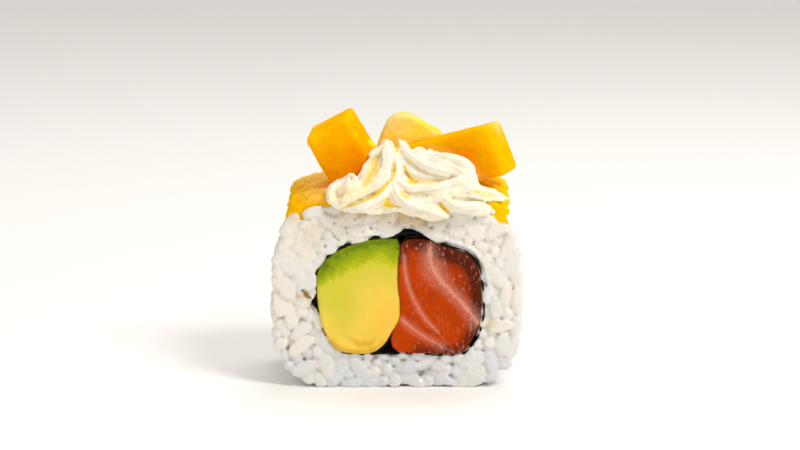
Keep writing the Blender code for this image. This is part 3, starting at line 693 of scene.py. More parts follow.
class Packing:
    """Grains of rice, each held as three balls in a row. The balls push each other apart."""

    def __init__(self, sizes, draw):
        self.draw = draw
        self.radius = sizes.grain_width / 2
        self.reach = (sizes.grain_length - sizes.grain_width) / 2
        self.outside = outer_rim(sizes)
        self.hole = hole_rim(self.outside)
        self.centres = np.empty((0, 3))
        self.directions = np.empty((0, 3))
        self.rises = np.empty(0)
        self.zones = np.empty(0, int)
        self.sunk = np.empty(0)

    def rim(self, angle, zones):
        """The outline, with its shoulders on the front cut."""
        return on_rim(self.outside, angle) + np.where(zones == FRONT, bumps(SHOULDERS, angle), 0.0)

    def add(self, zone, centres, directions, shallow, deep):
        """Adds grains whose balls lie between these shares of a grain's half width behind the surface."""
        count = len(centres)
        self.centres = np.vstack([self.centres, centres])
        directions = directions / np.linalg.norm(directions, axis=1)[:, None]
        self.directions = np.vstack([self.directions, directions])
        self.rises = np.concatenate([self.rises, directions[:, 1]])
        self.zones = np.concatenate([self.zones, np.full(count, zone)])
        self.sunk = np.concatenate([self.sunk, self.draw.uniform(shallow, deep, count) * self.radius])

    def add_cut(self, zone, count):
        """Grains behind a cut: most lie along the ring, and near the foot more of them show an end."""
        draw, tries = self.draw, 4 * count
        across = draw.uniform(RICE_LOW.x, RICE_HIGH.x, tries)
        up = draw.uniform(RICE_LOW.z, RICE_HIGH.z, tries)
        angle, distance = polar(across, up)
        room = START_ROOM * self.radius
        off_nori = distance - on_rim(self.hole, angle)
        off_rim = on_rim(self.outside, angle) - distance
        inside = (off_nori > room) & (off_rim > room)
        across, up, angle, off_rim = (values[inside][:count] for values in (across, up, angle, off_rim))
        count = len(across)
        freedom = np.where(off_rim < OUTER_RING, OUTER_FREEDOM, 1.0)
        turn = angle + math.pi / 2 + draw.normal(0.0, 0.6, count) * freedom
        endwise = draw.random(count) < np.where(up < FOOT_TOP, FOOT_ENDWISE, RING_ENDWISE)
        rise = np.where(endwise, draw.uniform(0.9, 1.5, count), draw.normal(0.0, 0.3, count))
        directions = np.column_stack([
            np.cos(turn) * np.cos(rise), np.sin(rise), np.sin(turn) * np.cos(rise),
        ])
        start = RICE_LOW.y + self.radius if zone == FRONT else RICE_HIGH.y - self.radius
        centres = np.column_stack([across, np.full(count, start), up])
        self.add(zone, centres, directions, 0.75, 1.4)

    def add_shoulders(self):
        """Grains laid along the rim where the rice stands up before the mango's front edge."""
        angle = np.radians(np.concatenate([np.arange(114, 152, 6.5), np.arange(38, 62, 6.5)]))
        distance = self.rim(angle, FRONT) - 0.8 * self.radius
        centres = from_polar(angle, distance, RICE_LOW.y + self.radius)
        turn = angle + math.pi / 2 + self.draw.normal(0.0, 0.3, len(angle))
        directions = np.column_stack([np.cos(turn), np.zeros(len(angle)), np.sin(turn)])
        self.add(FRONT, centres, directions, 0.75, 1.1)

    def add_skin(self, count):
        """Grains that lie flat in the roll's outer skin."""
        draw = self.draw
        angles = np.linspace(-math.pi, math.pi, 2000)
        steps = np.diff(from_polar(angles, on_rim(self.outside, angles), 0.0), axis=0)
        length = np.concatenate([[0], np.cumsum(np.linalg.norm(steps, axis=1))])
        angle = np.interp(draw.uniform(0, length[-1], count), length, angles)
        room = 1.6 * self.radius
        y = draw.uniform(RICE_LOW.y + room, RICE_HIGH.y - room, count)
        centres = from_polar(angle, on_rim(self.outside, angle) - self.radius, y)
        turn = draw.uniform(0, math.pi, count)
        directions = np.column_stack([
            -np.sin(angle) * np.cos(turn), np.sin(turn), np.cos(angle) * np.cos(turn),
        ])
        self.add(SKIN, centres, directions, 0.85, 1.3)

    def balls(self):
        """The middles of each grain's three balls."""
        offsets = np.array([-1.0, 0.0, 1.0])[None, :, None] * self.reach
        return self.centres[:, None, :] + self.directions[:, None, :] * offsets

    def settle(self, rounds, spacing):
        """Lets the grains, the mat and the nori push on each other until the grains lie evenly."""
        for _ in range(rounds):
            balls = self.balls()
            moves = self.pushed_apart(balls.reshape(-1, 3), spacing).reshape(-1, 3, 3) + self.held_in(balls)
            self.centres += moves.mean(axis=1)
            turned = self.directions + TURN_SHARE * (moves[:, 2] - moves[:, 0]) / (2 * self.reach)
            # Behind a cut, a grain keeps the tilt that it was laid with
            turned[:, 1] += np.where(self.zones == SKIN, 0.0, TURN_SHARE) * (self.rises - turned[:, 1])
            self.directions = turned / np.linalg.norm(turned, axis=1)[:, None]

    def pushed_apart(self, balls, spacing):
        """How far the balls of other grains push each ball that is nearer to them than the spacing."""
        small = (balls / MM).astype(np.float32)
        squares = (small ** 2).sum(axis=1)
        gaps = squares[:, None] + squares[None] - 2 * small @ small.T
        first, second = np.nonzero(gaps < (spacing / MM) ** 2)
        keep = (first < second) & (first // 3 != second // 3)
        first, second = first[keep], second[keep]
        away = balls[first] - balls[second]
        distance = np.linalg.norm(away, axis=1) + 1e-9
        push = away * (PUSH_SHARE * (spacing - distance) / distance)[:, None]
        moves = [
            np.bincount(first, push[:, axis], len(balls)) - np.bincount(second, push[:, axis], len(balls))
            for axis in range(3)
        ]
        return np.column_stack(moves)

    def held_in(self, balls):
        """How far the mat, the nori and the cuts push each ball back."""
        zones = self.zones[:, None]
        sunk = self.sunk[:, None]
        angle, distance = polar(balls[:, :, 0], balls[:, :, 2])
        rim = self.rim(angle, zones)
        nori = on_rim(self.hole, angle) + bumps(POCKETS, angle)
        # The grains stand out from the sides and the top, and lie on the floor at the foot
        within = RIM_ROOM + (FOOT_ROOM - RIM_ROOM) * smooth_step(-0.6, -0.9, np.sin(angle))
        inward = np.minimum(rim - within * self.radius - distance, 0.0)
        outward = np.maximum(nori + 0.1 * self.radius - distance, 0.0)
        radial = np.where(zones == SKIN, rim - sunk - distance, inward + outward) * 0.5
        front, back = balls[:, :, 1] - RICE_LOW.y, RICE_HIGH.y - balls[:, :, 1]
        nearest = np.where(self.zones == FRONT, front.min(axis=1), -back.min(axis=1))
        wanted = np.where(self.zones == FRONT, self.sunk, -self.sunk)
        along = np.where(self.zones == SKIN, 0.0, 0.3 * (wanted - nearest))[:, None]
        skin_room = 1.1 * self.radius
        squeezed_in = np.maximum(skin_room - front, 0.0) - np.maximum(skin_room - back, 0.0)
        along = along + np.where(zones == SKIN, 0.5 * squeezed_in, 0.0)
        return np.stack([radial * np.cos(angle), along, radial * np.sin(angle)], axis=2)


def grain_shapes(sizes):
    """A few grains modelled along X: plump, one end narrower, and slightly bowed."""
    shapes = []
    for index, (bow, narrow, stretch) in enumerate(GRAIN_SHAPES):
        bpy.ops.mesh.primitive_uv_sphere_add(segments=12, ring_count=8, radius=0.5)
        grain = bpy.context.object
        grain.name = f"grain_shape_{index}"
        length = sizes.grain_length * stretch
        with editing(grain):
            bpy.ops.transform.rotate(value=math.pi / 2, orient_axis="Y", center_override=(0, 0, 0))
            bpy.ops.transform.resize(value=(length, sizes.grain_width, sizes.grain_thickness))
        points = points_of(grain)
        along = points[:, 0] / (length / 2)
        full = 1 + 0.16 * along ** 2 * (1 - along ** 6)
        taper = 1 + (narrow - 1) * np.maximum(along, 0)
        points[:, 1:] *= (full * taper)[:, None]
        points[:, 2] += bow * MM * (1 - 2 * along ** 2)
        points[:, 1] += 0.5 * bow * MM * along
        move_points(grain, points)
        shapes.append(grain)
    return shapes


def pressed_grain(packing, index, points):
    """The grain's points after the mat, the nori, the floor and the knife have pressed on them."""
    draw = packing.draw
    centre, zone = packing.centres[index], packing.zones[index]
    smear = smeared(centre[0], centre[2])
    across, y, up = points.T
    angle, distance = polar(across, up)
    rim = packing.rim(angle, zone)
    # The grains at a cut stand out from the roll's side, and those between the cuts lie lower
    least, most = (-0.8, -0.1) if zone == SKIN else (0.1, 0.9)
    distance = squeezed(distance, rim + draw.uniform(least, most) * MM, 0.35 * MM)
    if zone != SKIN:
        # The rice is pressed over the nori's edge, most of all at its right
        nori = on_rim(packing.hole, angle) + bumps(POCKETS, angle)
        over = (0.7 + 0.45 * np.maximum(np.cos(angle), 0) ** 2) * MM + bumps(LIP, angle)
        distance = -squeezed(-distance, over - nori, 0.12 * MM)
    across, y, up = from_polar(angle, distance, y).T
    up = -squeezed(-up, -0.1 * MM, 0.12 * MM)
    slope = draw.normal(0.0, 0.12 * (1 - 0.7 * smear), 2)
    cut = draw.uniform(0.0, 0.4) * (1 - 0.5 * smear) * MM
    cut = np.maximum(cut + slope[0] * (across - centre[0]) + slope[1] * (up - centre[2]), 0.0)
    # The grains at the foot keep the most of their round ends
    soft = (0.6 - 0.2 * smear + 0.35 * at_foot(centre[2])) * MM
    y = -squeezed(-y, -(RICE_LOW.y + cut + soft), soft)
    y = squeezed(y, RICE_HIGH.y - cut - soft, soft)
    return np.column_stack([across, y, up])


def grain_object(packing, index, shape):
    """One grain, copied from its shape, turned, placed and pressed."""
    draw = packing.draw
    copy = shape.copy()
    copy.data = shape.data.copy()
    bpy.context.scene.collection.objects.link(copy)
    centre = packing.centres[index]
    turn = Vector(packing.directions[index]).to_track_quat("X", "Z").to_matrix()
    turn = turn @ Matrix.Rotation(draw.uniform(0, 2 * math.pi), 3, "X")
    # The grains at the foot of a cut are the plumpest
    plump = 1 + 0.06 * at_foot(centre[2]) * (packing.zones[index] != SKIN)
    points = points_of(shape) * draw.uniform(0.96, 1.12) * plump @ np.array(turn).T + centre
    move_points(copy, pressed_grain(packing, index, points))
    return copy


def rice_core(packing, sizes):
    """The sticky rice behind the grains, nearly flush where the knife has smeared it."""
    core = copy_of_node("rice", "rice_core")
    with editing(core):
        bpy.ops.mesh.bisect(plane_co=(0, 0, 0), plane_no=(0, 1, 0))
    remesh(core, CORE_DETAIL)
    across, y, up = points_of(core).T
    angle, distance = polar(across, up)
    rim = on_rim(packing.outside, angle) + bumps(SHOULDERS, angle) * near_cut(-y)
    hole = on_rim(packing.hole, angle) + bumps(POCKETS, angle)
    distance = np.clip(distance, hole + 0.1 * MM, rim - sizes.crevice)
    foot = smooth_step(9.5, 6.5, up / MM)
    depth = sizes.crevice * (1.3 + 0.8 * foot) * (1 - 0.35 * smeared(across, up))
    # The rice is pressed tight against the nori, and hides its outer side, most of all in the upper half
    tight = 0.25 + 0.45 * smooth_step(15, 21, up / MM)
    depth *= 1 - tight * smooth_step(1.6, 0.5, (distance - hole) / MM)
    points = from_polar(angle, distance, np.clip(y, RICE_LOW.y + depth, RICE_HIGH.y - depth))
    points[:, 2] = np.maximum(points[:, 2], CORE_FOOT)
    move_points(core, points)
    return core


# Cracks between grains on the front cut: depth, then X, Z and half width of each point, in millimetres
RICE_CRACKS = (
    (1.0, ((-17.5, 18.3, 0.2), (-17.0, 17.9, 0.4), (-16.6, 17.1, 0.4), (-16.0, 16.9, 0.2))),
    (1.0, ((-15.9, 15.6, 0.2), (-15.3, 15.9, 0.45), (-14.7, 15.9, 0.6))),
    (0.3, ((-12.0, 29.1, 0.2), (-11.6, 28.4, 0.35), (-10.8, 27.7, 0.2))),
)

# Small pits in the smeared rice, as X, Z and half width in millimetres
RICE_PITS = (
    (-11.5, 30.8, 0.35), (-9.3, 30.0, 0.35), (-9.2, 29.0, 0.3), (-7.8, 31.6, 0.3), (-6.3, 29.3, 0.3),
    (-4.9, 29.7, 0.3), (-1.4, 30.9, 0.35), (2.6, 30.4, 0.3), (6.3, 30.1, 0.35), (-13.2, 26.6, 0.3),
)
PIT_DEPTH = 0.3 * MM


def in_pits(points):
    """1 in the middle of a pit of the front cut, 0 outside the pits."""
    near = np.zeros(len(points))
    for across, up, reach in RICE_PITS:
        far = np.hypot(points[:, 0] / MM - across, points[:, 2] / MM - up) / reach
        near = np.maximum(near, smooth_step(1.2, 0.3, far))
    return near


def open_cracks(rice):
    """Pushes the front cut in along its cracks and at its pits."""
    points = points_of(rice)
    front = near_cut(-points[:, 1])
    for depth, crack in RICE_CRACKS:
        near = smooth_step(1.2, 0.4, nearest_share(points[:, [0, 2]] / MM, crack))
        points[:, 1] += near * front * depth * MM
    points[:, 1] += in_pits(points) * front * PIT_DEPTH
    move_points(rice, points)


def stuck_together(rice, sizes):
    """Melts the grains and the core into one sticky skin, smoother where the knife has smeared it."""
    remesh(rice, sizes.rice_detail)
    modify(rice, "SMOOTH", factor=0.5, iterations=1)
    points = points_of(rice)
    smear = 0.65 * near_cut(np.abs(points[:, 1])) * smeared(points[:, 0], points[:, 2])
    move_points(rice, points + smear[:, None] * (smoothed_copy(rice, 16) - points))
    # The creases between the grains are drawn sharper where nothing has smeared them
    points = points_of(rice)
    crisp = 0.7 - 0.6 * smear
    move_points(rice, points + crisp[:, None] * (points - smoothed_copy(rice, 8)))
    open_cracks(rice)
    roughen(rice, (1.3, 0.12), (0.6, 0.07))
    # The floor presses the lowest grains flat
    points = points_of(rice)
    points[:, 2] = np.maximum(points[:, 2], 0.0)
    move_points(rice, points)


def grain_tones(packing, points):
    """How cool each point's grain is: most at the foot, where it is partly painted shade, some by the nori,
    and a few elsewhere.
    """
    balls = packing.balls().reshape(-1, 3)
    tree = KDTree(len(balls))
    for index, ball in enumerate(balls):
        tree.insert(ball, index)
    tree.balance()
    nearest = np.array([tree.find(point)[1] // 3 for point in points])
    centres = packing.centres
    angle, distance = polar(centres[:, 0], centres[:, 2])
    inward = 1 - (distance - on_rim(packing.hole, angle)) / (4 * MM)
    by_nori = np.clip(inward, 0, 1) * (packing.zones != SKIN)
    # The cool tone at the foot is partly painted shade, greyer where less light reaches under the roll
    cool = 0.75 * smooth_step(9, 4, centres[:, 2] / MM) + 0.4 * by_nori
    strays = packing.draw.random(len(centres))
    return np.clip(cool * (0.5 + 0.7 * strays) + 0.4 * strays ** 3, 0, 1)[nearest]


# Where mango and cream have stained the rice of the front cut, with painted shadow and reflected yellow light
# from the mango under the cream and painted shade in its cracks: X, Z, reach in millimetres, and strength
RICE_STAINS_AND_SHADE = (
    (-2.6, 32.9, 2.2, 0.6), (1.2, 32.5, 2.2, 0.8), (4.4, 32.1, 2.2, 0.9), (7.5, 31.6, 1.6, 0.6),
    (-6.8, 32.3, 1.0, 0.8), (-10.1, 32.8, 0.9, 0.6), (-16.9, 17.5, 0.8, 0.9), (-15.5, 16.1, 0.8, 0.8),
    (-18.3, 17.0, 0.7, 0.4), (17.0, 11.9, 1.0, 0.5), (-18.5, 32.0, 1.6, 0.4), (-15.5, 28.5, 3.0, 0.25),
    (-10.5, 30.5, 3.0, 0.2), (8.0, 30.6, 3.0, 0.15),
)


def stained_and_shaded(points):
    """How strongly the rice is stained, with painted shadow and reflected mango light, at each point."""
    front = smooth_step(-8.5, -11, points[:, 1] / MM)
    strength = 0.3 * in_pits(points) * front
    for across, up, reach, most in RICE_STAINS_AND_SHADE:
        far = np.hypot(points[:, 0] / MM - across, points[:, 2] / MM - up) / reach
        strength = np.maximum(strength, most * np.exp(-far ** 2) * front)
    return strength


class URAMAKI_OT_rice(Operator):
    """Packs cooked grains round the nori, over a core of sticky rice"""

    bl_idname = "uramaki.rice"
    bl_label = "Rice"

    def execute(self, context):
        sizes, colours = context.scene.uramaki_sizes, context.scene.uramaki_colours
        packing = Packing(sizes, np.random.default_rng(sizes.seed))
        packing.add_cut(FRONT, sizes.cut_grains)
        packing.add_cut(BACK, sizes.cut_grains)
        packing.add_skin(sizes.skin_grains)
        packing.add_shoulders()
        packing.settle(SETTLING_ROUNDS, 0.9 * sizes.grain_width)
        shapes = grain_shapes(sizes)
        across, y, up = np.abs(packing.centres).T
        near, along, high = MANGO_COVER
        shown = ~((up > high) & (across < near) & (y < along))
        grains = [
            grain_object(packing, index, shapes[index % len(shapes)]) for index in np.nonzero(shown)[0]
        ]
        for shape in shapes:
            bpy.data.objects.remove(shape)
        rice = joined([rice_core(packing, sizes), *grains], "rice_front")
        stuck_together(rice, sizes)
        points = points_of(rice)
        # The hollows take the starch colour, which is also painted shade in the crevices
        paint(rice, "hollow", smooth_step(0.02, 0.18, hollowness(rice, 12)))
        paint(rice, "tone", grain_tones(packing, points))
        paint(rice, "stain_and_shade", stained_and_shaded(points))
        material = rice_material(colours)
        rear = bpy.data.objects.new("rice_back", rice.data.copy())
        context.scene.collection.objects.link(rear)
        for half, side in ((rice, -1), (rear, 1)):
            self.keep_side(half, side)
        finish_piece(rice, material, ["rice"])
        finish_piece(rear, material)
        return {"FINISHED"}

    def keep_side(self, piece, side):
        """Deletes the faces whose middle lies on the other side of Y = 0."""
        middles = np.empty(len(piece.data.polygons) * 3)
        piece.data.polygons.foreach_get("center", middles)
        with editing(piece, "DESELECT"):
            bpy.ops.mesh.select_mode(type="FACE")
        piece.data.polygons.foreach_set("select", middles[1::3] * side < 0)
        bpy.ops.object.mode_set(mode="EDIT")
        bpy.ops.mesh.delete(type="FACE")
        bpy.ops.object.mode_set(mode="OBJECT")


# Nori

NORI_STATIONS = 12  # cuts along the sheet, from which its rings of faces come
FLAP_START, FLAP_WIDTH, FLAP_HEIGHT = -3.2, 9.8, 27.95  # X, width and Z of the sheet's loose end, in mm
FLAP_THICKNESS = 0.22 * MM


class URAMAKI_OT_nori(Operator):
    """Wraps the fillings in a sheet of nori, with the loose end of the sheet at the top"""

    bl_idname = "uramaki.nori"
    bl_label = "Nori"

    def execute(self, context):
        sizes, colours = context.scene.uramaki_sizes, context.scene.uramaki_colours
        sheet = copy_of_node("nori", "nori_sheet")
        with editing(sheet, "DESELECT"):
            for share in np.linspace(0.06, 0.94, NORI_STATIONS):
                bpy.ops.mesh.select_all(action="SELECT")
                station = RICE_LOW.y + share * (RICE_HIGH.y - RICE_LOW.y)
                bpy.ops.mesh.bisect(plane_co=(0, station, 0), plane_no=(0, 1, 0))
        modify(sheet, "SUBSURF", levels=1, render_levels=1, subdivision_type="CATMULL_CLARK")
        across, y, up = points_of(sheet).T
        angle, distance = polar(across, up)
        wave = np.sin(angle * 9 + y / (4 * MM)) + np.sin(angle * 23 - y / (2.3 * MM)) * 0.6
        # The cut edges are ragged, and lie a little behind the rice's
        ragged = np.sin(angle * 31) * 0.6 + np.sin(angle * 57 + 1) * 0.4
        y = y * (1 - 0.012 * (1.2 + ragged))
        move_points(sheet, from_polar(angle, distance + wave * 0.5 * sizes.nori_wave, y))
        nori = joined([sheet, self.loose_end()], "nori_wrap")
        finish_piece(nori, nori_material(colours), ["nori"])
        return {"FINISHED"}

    def loose_end(self):
        """The end of the sheet, which lies crumpled in the pocket over the fillings."""
        bpy.ops.mesh.primitive_grid_add(x_subdivisions=40, y_subdivisions=30, size=1.0)
        flap = bpy.context.object
        points = points_of(flap)
        share = points[:, 0] + 0.5
        ragged = 0.25 * np.sin(share * 37) + 0.2 * np.sin(share * 61 + 2)
        y = points[:, 1] * (RICE_HIGH.y - RICE_LOW.y - (1.1 + ragged) * MM)
        across = (FLAP_START + FLAP_WIDTH * share) * MM
        fold = 0.55 * np.sin(share * math.pi) + 0.22 * np.sin(share * 17 + y / MM) + 0.1 * np.sin(share * 43)
        move_points(flap, np.column_stack([across, y, (FLAP_HEIGHT + fold) * MM]))
        modify(flap, "SOLIDIFY", thickness=FLAP_THICKNESS, offset=0.0)
        return flap


# Fillings

CUT_REACH = 12.5 * MM  # from the middle of the roll to either cut
FILLING_GROWTH = 0.42  # millimetres by which a filling grows to lie over the nori's edge
SEAM_GROWTH = 0.15  # millimetres by which it grows at the seam
SALMON_BULGE = ((38, 22, 0.35),)  # place round the heart and height, as the ring's bumps are stated


def filling(node_name, name, detail, seam_side):
    """A strip of filling with the CAD node's shape, grown over the nori's inner face but not at the seam.

    seam_side is 1 where the other filling lies at +X of this one, and -1 where it lies at -X.
    """
    piece = copy_of_node(node_name, name)
    remesh(piece, detail)
    points, normals = points_of(piece), normals_of(piece)
    lowest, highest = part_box(node_name)
    seam = highest.x if seam_side > 0 else lowest.x
    near_seam = smooth_step(3.2 * MM, 1.2 * MM, np.abs(points[:, 0] - seam))
    near_seam = near_seam * smooth_step(0.2, 0.8, normals[:, 0] * seam_side)
    growth = FILLING_GROWTH - (FILLING_GROWTH - SEAM_GROWTH) * near_seam
    points += normals * (growth * MM)[:, None]
    reach = squeezed(np.abs(points[:, 1]), CUT_REACH + 0.02 * MM, 0.12 * MM)
    points[:, 1] = np.sign(points[:, 1]) * reach
    move_points(piece, points)
    return piece


def outline_of(node_name):
    """The CAD node's outline on its cut: X and Z in millimetres, at steps of about 0.1 mm."""
    points = points_of(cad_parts[node_name])
    cut = points[points[:, 1] < points[:, 1].min() + 0.01 * MM]
    corners = np.unique(np.round(cut[:, [0, 2]] / MM, 3), axis=0)
    off = corners - corners.mean(axis=0)
    corners = corners[np.argsort(np.arctan2(off[:, 1], off[:, 0]))]
    shares = np.linspace(0, 1, 24, endpoint=False)[:, None, None]
    return (corners + shares * (np.roll(corners, -1, axis=0) - corners)).reshape(-1, 2)


def nearest_on(outline, flat):
    """How far each point of X and Z in millimetres is from the nearest point of the outline."""
    nearest = np.empty(len(flat))
    for start in range(0, len(flat), 4000):
        block = flat[start:start + 4000]
        nearest[start:start + 4000] = np.linalg.norm(block[:, None] - outline[None], axis=2).min(axis=1)
    return nearest


def carve(piece, relief):
    """Moves both cut faces in by this much at each point, in millimetres. Less than none stands proud."""
    points = points_of(piece)
    face = smooth_step(CUT_REACH - 1.3 * MM, CUT_REACH - 0.3 * MM, np.abs(points[:, 1]))
    points[:, 1] -= np.sign(points[:, 1]) * relief * face * MM
    move_points(piece, points)


AVOCADO_HEART = (-7.2, 17.5)  # X and Z in millimetres
AVOCADO_SKIN = (50, 186)  # the arc round the heart, in degrees, where the skin was


class URAMAKI_OT_avocado(Operator):
    """Cuts the strip of avocado, with its green rim and the soft lip along its foot"""

    bl_idname = "uramaki.avocado"
    bl_label = "Avocado"

    def execute(self, context):
        sizes, colours = context.scene.uramaki_sizes, context.scene.uramaki_colours
        avocado = filling("avocado", "avocado_strip", sizes.flesh_detail, 1)
        roughen(avocado, (4.0, 0.14), (0.9, 0.04))
        flat = points_of(avocado)[:, [0, 2]] / MM
        outline = outline_of("avocado")
        off = outline - AVOCADO_HEART
        turn = np.degrees(np.arctan2(off[:, 1], off[:, 0])) % 360
        skin = outline[(turn > AVOCADO_SKIN[0]) & (turn < AVOCADO_SKIN[1])]
        from_skin = nearest_on(skin, flat)
        inside = nearest_on(outline, flat)
        # The green is thinner at the left end of the skin than on top
        side = smooth_step(-9.5, -14.0, flat[:, 0]) * smooth_step(22.5, 17.5, flat[:, 1])
        foot = smooth_step(10.2, 8.2, flat[:, 1])
        ragged = 0.6 + 0.25 * np.sin(flat[:, 0] * 1.1) + 0.15 * np.sin(flat[:, 0] * 2.9 + 1)
        edge = inside - 1.1 * ragged - 0.5 * np.sin(flat[:, 0] * 0.7 + 2)
        lip = foot * smooth_step(0.9, 0.0, edge)
        trough = foot * smooth_step(0.2, 0.7, edge) * smooth_step(2.2, 1.0, edge)
        left_lip = smooth_step(-12.5, -13.8, flat[:, 0]) * smooth_step(15.2, 13.8, flat[:, 1])
        carve(avocado, 0.3 * trough - 0.35 * lip * ragged - 0.3 * left_lip)
        # The foot is painted ochre along its edge and, as painted shade, in the trough above its lip
        ochre_and_shade = foot * np.clip(0.4 * trough + 0.6 * smooth_step(0.6, 0.1, inside), 0, 1)
        paint(avocado, "from_skin", from_skin + 4.5 * side)
        paint(avocado, "ochre_and_shade", ochre_and_shade)
        finish_piece(avocado, avocado_material(colours), ["avocado"])
        return {"FINISHED"}


# Lines of fat on the salmon's cut: X, Z and half width in millimetres
FAT_LINES = (
    ((6.0, 26.4, 0.6), (5.9, 24.6, 1.1), (6.6, 22.4, 1.3), (8.0, 20.2, 1.0), (9.9, 18.1, 0.8),
     (12.2, 15.6, 0.8), (14.6, 12.6, 1.0)),
    ((1.2, 24.8, 0.3), (1.6, 21.0, 0.34), (2.6, 17.6, 0.34), (4.6, 13.8, 0.4), (7.2, 10.8, 0.3)),
    ((0.9, 12.9, 0.5), (2.6, 11.4, 0.6), (5.2, 9.6, 0.45), (8.2, 7.9, 0.6)),
)


def signed_distance(flat, line):
    """Distance from each point to a line of X, Z and half width, as a share of that half width."""
    samples = curve_through(line, 10)
    best = np.full(len(flat), 1e9)
    for start, end in zip(samples[:-1], samples[1:]):
        step = end[:2] - start[:2]
        offset = flat - start[:2]
        share = np.clip(offset @ step / (step @ step), 0, 1)
        off_line = offset - share[:, None] * step
        side = np.sign(step[0] * offset[:, 1] - step[1] * offset[:, 0])
        width = start[2] + share * (end[2] - start[2])
        value = side * np.linalg.norm(off_line, axis=1) / width
        best = np.where(np.abs(value) < np.abs(best), value, best)
    return np.clip(best, -9, 9)


class URAMAKI_OT_salmon(Operator):
    """Cuts the strip of salmon, with its lines of fat and its wet, uneven skin side"""

    bl_idname = "uramaki.salmon"
    bl_label = "Salmon"

    def execute(self, context):
        sizes, colours = context.scene.uramaki_sizes, context.scene.uramaki_colours
        salmon = filling("salmon", "salmon_strip", sizes.flesh_detail, -1)
        points = points_of(salmon)
        angle, _ = polar(points[:, 0], points[:, 2])
        normals = normals_of(salmon)
        bulge = bumps(SALMON_BULGE, angle) * (1 - np.abs(normals[:, 1]))
        move_points(salmon, points + normals * bulge[:, None])
        roughen(salmon, (3.0, 0.16), (0.9, 0.07))
        flat = points_of(salmon)[:, [0, 2]] / MM
        fat = np.column_stack([signed_distance(flat, line) for line in FAT_LINES])
        inside = nearest_on(outline_of("salmon"), flat)
        skinward = smooth_step(3.5, 13.5, flat[:, 0] * 0.75 + (flat[:, 1] - 16) * 0.55)
        outward = np.maximum(smooth_step(1.5, 4.0, flat[:, 0]), smooth_step(22.0, 24.5, flat[:, 1]))
        rim = smooth_step(2.4, 0.1, inside) * outward
        nearest = np.abs(fat).min(axis=1)
        carve(salmon, 0.14 * smooth_step(3.5, 0.8, nearest) - 0.12)
        paint(salmon, "fat", fat)
        paint(salmon, "skin", np.clip(0.45 * skinward + 0.7 * rim, 0, 1))
        finish_piece(salmon, salmon_material(colours), ["salmon"])
        return {"FINISHED"}


# Mango

# The lumpy right side of the slices: Z, and how far right they reach there, in millimetres
SLICE_LUMPS = (
    (28.3, 20.9), (29.4, 20.6), (31.1, 19.9), (32.1, 19.8), (32.6, 20.5), (34.3, 21.1),
    (35.0, 20.9), (35.3, 20.1), (36.4, 20.0), (37.4, 19.2), (38.5, 18.9),
)
SLICE_GROWTH = 0.25 * MM
SLICE_FRONT = 11.2 * MM  # how far forward the front slice reaches
SLICE_SOFTNESS = 0.4  # millimetres within which the right side is pressed to its lumps


class URAMAKI_OT_mango_slices(Operator):
    """Drapes three ragged slices of mango over the rice, pressed into one mass at their left ends"""

    bl_idname = "uramaki.mango_slices"
    bl_label = "Mango slices"

    def execute(self, context):
        sizes, colours = context.scene.uramaki_sizes, context.scene.uramaki_colours
        names = ["mango_slice_" + place for place in ("front", "middle", "rear")]
        drape = joined([copy_of_node(name, name + "_flesh") for name in names], "mango_drape_flesh")
        swell(drape, SLICE_GROWTH)
        remesh(drape, sizes.flesh_detail)
        # The slices lie apart at the right and run into one at the left
        points = points_of(drape)
        left = smooth_step(2, -9, points[:, 0] / MM)
        points += 0.95 * left[:, None] * (smoothed_copy(drape, 70) - points)
        move_points(drape, points)
        roughen(drape, (2.4, 0.55))
        # The front slice stops behind the rice that stands up at the cut
        points = points_of(drape)
        points[:, 1] = -squeezed(-points[:, 1], SLICE_FRONT, 0.3 * MM)
        lumps = np.interp(points[:, 2] / MM, *zip(*SLICE_LUMPS)) - SLICE_SOFTNESS
        points[:, 0] = squeezed(points[:, 0], lumps * MM, SLICE_SOFTNESS * MM)
        move_points(drape, points)
        roughen(drape, (1.5, 0.3), (0.9, 0.16), (0.45, 0.06))
        up = points_of(drape)[:, 2] / MM
        # Ridges and edges get a painted glow
        paint(drape, "edge", smooth_step(0.0, 0.5, -hollowness(drape, 14)))
        paint(drape, "ripe", 0.25 + 0.4 * left)
        paint(drape, "frost", smooth_step(33.8, 36.5, up) * (0.1 + 0.4 * left))
        flesh = mango_material(
            colours, "sliced mango", colours.slice_light, colours.slice_deep, colours.slice_glow
        )
        finish_piece(drape, flesh, names)
        return {"FINISHED"}


MANGO_GROWTH = 0.15 * MM  # how far the pieces grow to touch the others
WEDGE_GROWTH = 0.45  # millimetres more that the wedge grows low down, pressed against the block before it
# The edge glow is painted: thin edges and ridges are painted lighter in the glow colour
WEDGE_GLOW, BLOCK_GLOW = 0.7, 0.6  # how strongly thin edges glow

# The scrap by the left cube: its centre and size in millimetres, and its turns in degrees
MANGO_SCRAP = ((-5.3, -0.6, 43.4), (2.0, 2.4, 2.3), (20, 35, 10))

# Where each piece of mango is ripest and where its cut has dried hazy: X, Y, Z and reach in millimetres
MANGO_LOOKS = {
    "mango_cube_left": ((-5.5, -3.0, 37.8, 9.0), (-14.0, 0.0, 46.0, 1.0)),
    "mango_block_right": ((12.6, 0.0, 40.0, 5.5), (19.0, 0.0, 48.0, 1.8)),
    "mango_wedge_rear": ((7.0, 4.0, 38.5, 3.0), (-1.5, 6.0, 48.5, 5.5)),
}

# Where the block's low edge is hazy beside the cream: a line and its half width, in pixels of the view
HAZY_LINE = ((428, 148, 5), (444, 154, 7), (460, 162, 8), (471, 170, 8), (482, 180, 6), (493, 182, 5))


def near_place(points, place):
    """How near the points are to a place: 1 at it, fading within its reach."""
    far = np.linalg.norm(points / MM - np.array(place[:3]), axis=1) / place[3]
    return np.exp(-far ** 2)


